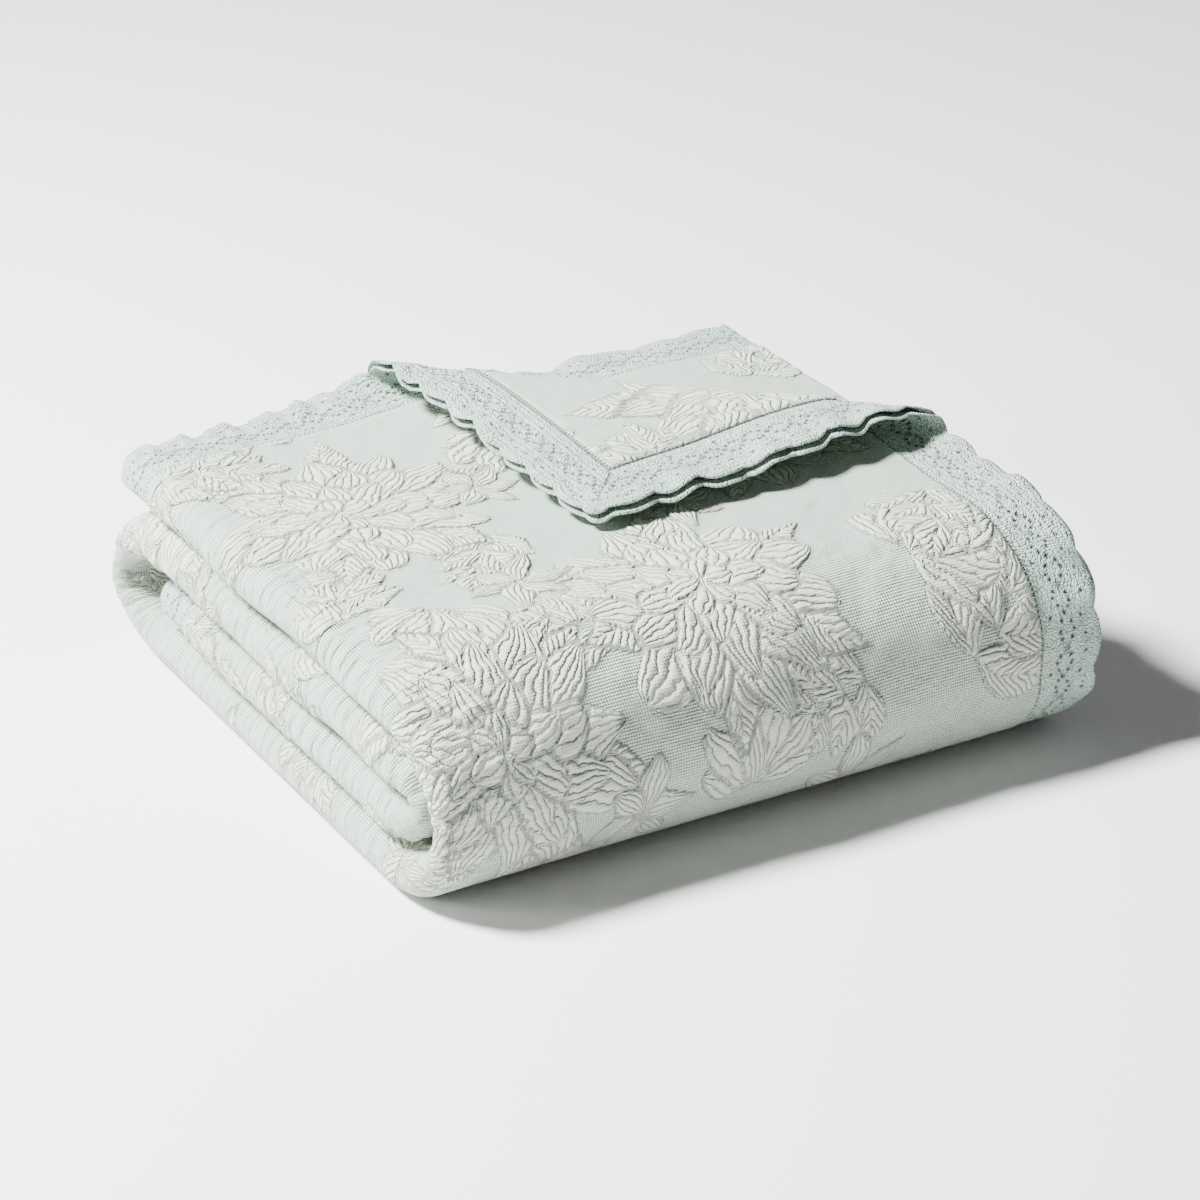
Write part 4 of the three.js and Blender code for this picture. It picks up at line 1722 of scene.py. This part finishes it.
def washed_shade() -> bpy.types.NodeTree:
    """Slow changes of shade over washed cotton.

    Returns:
        A group that takes a place in metres and puts out a broad change of shade, about 0.5.
    """
    s = new_group("washed_shade", "ShaderNodeTree", {"Place": "Vector"}, {"Broad": "Float"})
    given, put_out = s.node("NodeGroupInput"), s.node("NodeGroupOutput")
    s.join(s.noise(given.outputs["Place"], 9, 3), put_out.inputs["Broad"])
    return s.tree


@dataclass(frozen=True)
class MattCotton:
    """What both kinds of cotton share: how they take the light and how their relief is laid on."""

    relief: float
    roughness: float
    sheen: float = 0.2
    sheen_roughness: float = 0.6

    def lay(self, s: Nodes, skin: bpy.types.Node, colour: Socket, height: Socket) -> None:
        """Lays the colour and the relief on a surface.

        Args:
            s: the material's nodes.
            skin: its surface.
            colour: the colour at each place.
            height: the relief there, from about 0 to 1.
        """
        bump = s.fed(s.node("ShaderNodeBump"), Strength=1.0, Distance=self.relief, Height=height)
        s.fed(skin, Normal=bump.outputs[0], Base_Color=colour, Roughness=self.roughness)
        s.fed(skin, Sheen_Weight=self.sheen, Sheen_Roughness=self.sheen_roughness)


@dataclass(frozen=True)
class QuiltedCotton(MattCotton):
    """Matt cotton: a pale green ground and whiter puffed flowers, with painted shade in the stitched lines
    between.
    """

    relief: float = 0.0027
    roughness: float = 0.92
    ground: tuple[float, float, float] = (0.56, 0.69, 0.572)
    flower: tuple[float, float, float] = (0.575, 0.635, 0.515)
    # stitched is the colour of painted shade: in the stitched grooves and needle holes, between the threads
    # of the weave and along the seam with the lace
    stitched: tuple[float, float, float] = (0.13, 0.155, 0.13)
    threads: float = 470.0
    needle_holes: float = 380.0

    def material(self, weave: bpy.types.NodeTree, wear: bpy.types.NodeTree) -> bpy.types.Material:
        """Builds the material over the values kept on the cover.

        Args:
            weave: the node group of the weave.
            wear: the node group of the washed shade.

        Returns:
            The material.
        """
        made, s, skin = new_material("matt_quilted_cotton")
        place = s.node("ShaderNodeUVMap", uv_map="cut").outputs[0]
        seam = s.stored("seam")
        outline = s.math("ADD", s.stored("outline"), s.swing(s.noise(place, 130, 2), 2.4))
        threads = s.fed(s.node("ShaderNodeGroup", node_tree=weave), Place=place, Threads=self.threads)
        shade = s.fed(s.node("ShaderNodeGroup", node_tree=wear), Place=place)

        def on_flower(ground: float = 0.0, flower: float = 1.0) -> Socket:
            """One value on the ground and another one on the flowers."""
            return s.ramp(outline, -0.3, 0.5, ground, flower)

        phase = s.math("ADD", s.stored("channel"), s.swing(s.noise(place, 78, 2), 1.5))
        wave = s.math("ABSOLUTE", s.math("SINE", s.times(phase, math.pi)))
        ridge = s.math("MULTIPLY_ADD", s.math("POWER", wave, 0.55), 0.75, 0.25)
        puff = s.times(s.math("POWER", s.ramp(outline, 0.0, 2.6), 0.6), ridge)
        groove = s.math("SUBTRACT", 1.0, s.ramp(s.math("ABSOLUTE", outline), 0.15, 1.3))
        channelled = s.times(s.ramp(wave, 0.05, 0.42, 1.0, 0.0), on_flower())
        # line marks the stitched grooves and channels: it sinks the relief, and below it carries painted
        # shade
        line = s.math("MAXIMUM", groove, s.times(channelled, 0.95))
        holes = s.ramp(s.cells(place, self.needle_holes), 0.15, 0.5, 1.0, 0.0)
        line = s.times(line, s.math("MULTIPLY_ADD", holes, 0.6, 0.4))

        drawn = s.swing(s.noise(place, 55, 3), on_flower(1.8, 0.5))
        short = s.noise(s.scaled(place, (0.3, 1.0, 1.0)), 105, 2)
        short = s.swing(short, s.math("MULTIPLY_ADD", s.stored("wrinkled"), 4.4, 0.6))
        height = s.math("ADD", puff, s.math("ADD", drawn, short))
        height = s.math("ADD", height, s.times(threads.outputs["Height"], on_flower(0.2, 0.07)))
        height = s.math("SUBTRACT", height, s.times(line, 0.3))
        height = s.times(height, s.ramp(seam, 0.0, 7.0, 0.45, 1.0))

        broad = s.math("ADD", s.swing(shade.outputs["Broad"], 1.2), on_flower())
        colour = s.blend(s.ramp(broad, 0.0, 1.0), (*self.ground, 1), (*self.flower, 1))
        # Painted shade between the threads of the weave, stronger on the ground than on the flowers
        shade_between_threads = s.times(threads.outputs["Between"], on_flower(0.8, 0.28))
        colour = s.blend(shade_between_threads, colour, (*self.stitched, 1))
        # Painted shade in the stitched grooves and channels, dotted by the needle holes, and a painted
        # shadow along the seam with the lace
        painted_shade = s.math("MAXIMUM", s.times(line, 0.9), s.ramp(seam, 0.0, 1.6, 0.55, 0.0))
        self.lay(s, skin, s.blend(painted_shade, colour, (*self.stitched, 1)), height)
        return made


@dataclass(frozen=True)
class CrochetLace(MattCotton):
    """Crocheted cotton: rows of small knotted loops, a little greener than the cloth, with painted shade in
    its pits and round its eyelets.
    """

    relief: float = 0.0021
    roughness: float = 0.9
    thread: tuple[float, float, float] = (0.49, 0.665, 0.57)
    pale: tuple[float, float, float] = (0.61, 0.735, 0.655)
    # The colour of painted shade in the pits between the loops, round the eyelets and along the seam
    pit_shade_colour: tuple[float, float, float] = (0.12, 0.18, 0.15)
    loops: float = 510.0
    rows: float = 64.0
    strayed: float = 0.0022

    def material(self, wear: bpy.types.NodeTree) -> bpy.types.Material:
        """Builds the material over the lace's own length and width.

        Args:
            wear: the node group of the washed shade.

        Returns:
            The material.
        """
        made, s, skin = new_material("crocheted_cotton")
        place = s.node("ShaderNodeUVMap", uv_map="cut").outputs[0]
        rim = s.stored("rim")
        shade = s.fed(s.node("ShaderNodeGroup", node_tree=wear), Place=place)
        bent = s.fed(s.node("ShaderNodeTexNoise"), Vector=place, Scale=190)
        offset = s.node("ShaderNodeVectorMath", operation="MULTIPLY_ADD")
        strayed = (self.strayed, self.strayed, 0.0)
        for socket, source in zip(offset.inputs, (bent.outputs["Color"], strayed, place)):
            s.join(source, socket)
        worked = offset.outputs[0]
        loop = s.ramp(s.cells(worked, self.loops, 0.7), 0.12, 0.66, 1.0, 0.0)
        rows = s.node("ShaderNodeTexWave", wave_type="BANDS", bands_direction="Y")
        s.fed(rows, Vector=worked, Scale=self.rows, Distortion=2.0, Detail=2)
        knots = s.noise(place, 105, 3)
        height = s.math("MULTIPLY_ADD", rows.outputs["Fac"], 0.45, s.times(loop, 0.7))
        height = s.math("MULTIPLY_ADD", knots, 1.5, height)
        height = s.math("MULTIPLY_ADD", s.ramp(rim, 0.0, 1.0), 0.4, height)

        # Painted shade in the pits between the loops, darker where the knots lie low
        shaded_pits = s.times(s.ramp(loop, 0.0, 0.45, 1.0, 0.0), s.ramp(knots, 0.35, 0.6, 1.0, 0.35))
        colour = s.blend(s.ramp(shade.outputs["Broad"], 0.3, 0.7), (*self.thread, 1), (*self.pale, 1))
        colour = s.blend(s.times(shaded_pits, 0.95), colour, (*self.pit_shade_colour, 1))
        # Painted shade round each eyelet and along the seam, where what lies beneath is in shadow
        self.lay(s, skin, s.blend(s.ramp(rim, 0.1, 0.8, 0.95, 0.0), colour, (*self.pit_shade_colour, 1)), height)
        return made


@dataclass
class SeamStitches:
    """The close row of stitches that holds the lace to the cloth."""

    folding: Folding
    inset: float = 52.0
    pitch: float = 4.2
    length: float = 3.2
    thickness: float = 0.95
    above: float = 0.5
    line_step: float = 4.0
    segments: int = 5
    rings: int = 4

    def _seam(self) -> bpy.types.Object:
        """A line of points along the seam, each with the direction that the face looks in.

        Returns:
            The line as an object.
        """
        fold = self.folding
        inset, step = self.inset, self.line_step
        width, length = fold.cut_width, fold.cut_length
        across = lines(inset, width - inset, step)
        along = lines(inset, length - inset, step)
        sides = [
            (across, np.full_like(across, inset)),
            (np.full_like(along, width - inset), along),
            (across[::-1], np.full_like(across, length - inset)),
            (np.full_like(along, inset), along[::-1]),
        ]
        u = np.concatenate([side[0][:-1] for side in sides])
        v = np.concatenate([side[1][:-1] for side in sides])
        # Near the floor the stitches are pressed into the cloth, and elsewhere they stand out
        lift = fold.half + self.above * (2 * fold.off_floor(fold.strip(v, fold.side(u)).z) - 1)
        low, high = fold.place(u, v, lift), fold.place(u, v, lift + 1)
        mesh = bpy.data.meshes.new("seam_line")
        mesh.from_pydata(low.tolist(), [(i, (i + 1) % len(low)) for i in range(len(low))], [])
        facing = mesh.attributes.new("facing", "FLOAT_VECTOR", "POINT")
        outward = (high - low) / np.linalg.norm(high - low, axis=1)[:, None]
        facing.data.foreach_set("vector", outward.ravel().astype(np.float32))
        seam = bpy.data.objects.new("seam_line", mesh)
        bpy.context.collection.objects.link(seam)
        return seam

    def _sizes(self) -> dict[str, float]:
        """The stitches' named sizes, in metres."""
        return {"Pitch": self.pitch * MM, "Length": self.length * MM, "Thickness": self.thickness * MM}

    def _tree(self, material: bpy.types.Material) -> bpy.types.NodeTree:
        """The stitches' rule: one short thread at each step along the seam, lying across it.

        Args:
            material: the thread's material.

        Returns:
            The tree that holds the rule.
        """
        inputs = {"Geometry": "Geometry", **{name: "Float" for name in self._sizes()}}
        s = new_group("stitches_along_seam", "GeometryNodeTree", inputs, {"Geometry": "Geometry"})
        given, put_out = s.node("NodeGroupInput"), s.node("NodeGroupOutput")
        curve = s.node("GeometryNodeMeshToCurve")
        s.join(given.outputs["Geometry"], curve.inputs[0])
        spaced = s.node("GeometryNodeResampleCurve", mode="LENGTH")
        s.fed(spaced, Curve=curve.outputs[0], Length=given.outputs["Pitch"])
        thread = s.node("GeometryNodeMeshUVSphere")
        s.fed(thread, Segments=self.segments, Rings=self.rings, Radius=0.5)
        scale = s.node("ShaderNodeCombineXYZ")
        for socket, size in zip(scale.inputs, ("Thickness", "Length", "Thickness")):
            s.join(given.outputs[size], socket)
        sized = s.node("GeometryNodeTransform")
        s.fed(sized, Geometry=thread.outputs[0], Scale=scale.outputs[0])
        facing = s.node("GeometryNodeInputNamedAttribute", data_type="FLOAT_VECTOR")
        s.fed(facing, Name="facing")
        up = s.fed(s.node("FunctionNodeAlignRotationToVector", axis="Z"), Vector=facing.outputs[0])
        ahead = s.node("FunctionNodeAlignRotationToVector", axis="X", pivot_axis="Z")
        tangent = s.node("GeometryNodeInputTangent")
        s.fed(ahead, Rotation=up.outputs[0], Vector=tangent.outputs[0])
        placed = s.node("GeometryNodeInstanceOnPoints")
        s.fed(placed, Points=spaced.outputs[0], Instance=sized.outputs[0], Rotation=ahead.outputs[0])
        real = s.node("GeometryNodeRealizeInstances")
        s.join(placed.outputs[0], real.inputs[0])
        dressed = s.fed(s.node("GeometryNodeSetMaterial"), Geometry=real.outputs[0], Material=material)
        s.join(dressed.outputs[0], put_out.inputs[0])
        return s.tree

    def build(self, material: bpy.types.Material) -> bpy.types.Object:
        """Makes the stitches as one plain mesh.

        Args:
            material: the thread's material.

        Returns:
            The stitches as one piece.
        """
        seam = self._seam()
        modifier = seam.modifiers.new("stitches", "NODES")
        modifier.node_group = self._tree(material)
        for item in modifier.node_group.interface.items_tree:
            if item.in_out == "INPUT" and item.name in self._sizes():
                modifier[item.identifier] = self._sizes()[item.name]
        evaluated = seam.evaluated_get(bpy.context.evaluated_depsgraph_get())
        mesh = bpy.data.meshes.new_from_object(evaluated)
        mesh.polygons.foreach_set("use_smooth", np.ones(len(mesh.polygons), bool))
        stitches = bpy.data.objects.new("seam_stitches", mesh)
        bpy.context.collection.objects.link(stitches)
        seam.modifiers.remove(modifier)
        bpy.data.objects.remove(seam)
        return stitches


@dataclass(frozen=True)
class Viewpoint:
    """The photograph's camera: its place in the folding's coordinates and its angles."""

    distance: float = 2.980
    yaw: float = 29.27
    pitch: float = 25.81
    roll: float = -0.63
    focal_pixels: float = 3716.0
    frame_pixels: float = 1200.0
    target: tuple[float, float, float] = (0.0438, 0.0596, 0.0515)
    sensor: float = 36.0
    sees_to: float = 50.0

    def build(self, middle: Sequence[float]) -> None:
        """Places the camera, with the stack's middle moved to the origin.

        Args:
            middle: the middle of the stack.
        """
        yaw, pitch, roll = (math.radians(angle) for angle in (self.yaw, self.pitch, self.roll))
        forward = Vector(
            (math.sin(yaw) * math.cos(pitch), math.cos(yaw) * math.cos(pitch), -math.sin(pitch))
        )
        level = Vector((math.cos(yaw), -math.sin(yaw), 0))
        up = level.cross(forward)
        right = math.cos(roll) * level + math.sin(roll) * up
        above = -math.sin(roll) * level + math.cos(roll) * up
        place = Vector(self.target) - self.distance * forward - Vector(middle) * MM
        camera = bpy.data.cameras.new("photograph_view")
        camera.sensor_width = self.sensor
        camera.lens = self.focal_pixels / self.frame_pixels * self.sensor
        camera.clip_end = self.sees_to
        thing = bpy.data.objects.new("photograph_view", camera)
        turn = Matrix((right, above, -forward)).transposed().to_4x4()
        thing.matrix_world = Matrix.Translation(place) @ turn
        bpy.context.collection.objects.link(thing)
        bpy.context.scene.camera = thing


@dataclass(frozen=True)
class SoftBox:
    """One soft studio light: where it stands, what it looks at, its size and its power."""

    name: str
    place: tuple[float, float, float]
    size: float
    power: float
    aim: tuple[float, float, float] = (0.0, 0.0, 0.08)

    def build(self) -> None:
        """Places the light, turned towards the bedspread."""
        lamp = bpy.data.lights.new(self.name, "AREA")
        lamp.shape = "DISK"
        lamp.size = self.size
        lamp.energy = self.power
        thing = bpy.data.objects.new(self.name, lamp)
        place = Vector(self.place)
        turn = (Vector(self.aim) - place).to_track_quat("-Z", "Y").to_matrix().to_4x4()
        thing.matrix_world = Matrix.Translation(place) @ turn
        bpy.context.collection.objects.link(thing)


@dataclass
class Studio:
    """The pale floor and the soft light round it."""

    floor_half: float = 9.0
    floor_below: float = 0.0002
    floor_colour: tuple[float, float, float] = (0.85, 0.852, 0.85)
    floor_roughness: float = 0.85
    floor_shade: float = 0.985
    sky: tuple[float, float, float] = (1.0, 1.0, 1.0)
    sky_strength: float = 0.18
    lights: tuple[SoftBox, ...] = (
        SoftBox("key", (-1.9, 0.8, 2.75), 0.8, 720),
        SoftBox("left", (-3.1, 0.5, 1.3), 0.8, 44),
    )

    def build(self) -> None:
        """Makes the floor, the sky light and the lights."""
        half = self.floor_half
        corners = np.array([(-half, -half, 0), (half, -half, 0), (half, half, 0), (-half, half, 0)], float)
        floor = smooth_mesh("studio_floor", corners - [0, 0, self.floor_below], [(0, 1, 2, 3)])
        made, s, skin = new_material("pale_floor")
        place = s.node("ShaderNodeTexCoord").outputs["Object"]
        speck = s.fed(s.node("ShaderNodeTexNoise"), Vector=place, Scale=3).outputs["Fac"]
        shaded = tuple(value * self.floor_shade for value in self.floor_colour)
        colour = s.blend(speck, (*shaded, 1), (*self.floor_colour, 1))
        s.fed(skin, Base_Color=colour, Roughness=self.floor_roughness)
        floor.data.materials.append(made)
        world = bpy.context.scene.world or bpy.data.worlds.new("studio_sky")
        bpy.context.scene.world = world
        world.use_nodes = True
        background = world.node_tree.nodes["Background"]
        background.inputs["Color"].default_value = (*self.sky, 1)
        background.inputs["Strength"].default_value = self.sky_strength
        for light in self.lights:
            light.build()


def main() -> None:
    """Builds the bedspread's pieces in order and hands them to the frame."""
    logging.basicConfig(level=logging.INFO, format="%(message)s")
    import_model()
    folding = Folding()
    Viewpoint().build(folding.middle)
    Studio().build()
    weave, wear = cotton_weave(), washed_shade()
    cotton = QuiltedCotton().material(weave, wear)
    crochet = CrochetLace().material(wear)

    quilted = QuiltedCover(folding, Quilting())
    cover = quilted.build()
    cover.data.materials.append(cotton)
    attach(cover, "root")
    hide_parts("cover")
    log.info("%s: %d faces", cover.name, len(cover.data.polygons))

    strips = LaceBorder(folding).build()
    for node, strip in strips.items():
        strip.data.materials.append(crochet)
        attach(strip, "root")
        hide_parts(node)
        log.info("%s: %d faces", strip.name, len(strip.data.polygons))

    # The stitches have no rim value, so the lace material paints them almost wholly in its pit shade colour,
    # a painted dark shadow line along the seam
    stitches = SeamStitches(folding).build(crochet)
    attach(stitches, "root")
    log.info("%s: %d faces", stitches.name, len(stitches.data.polygons))


if __name__ == "__main__":
    main()
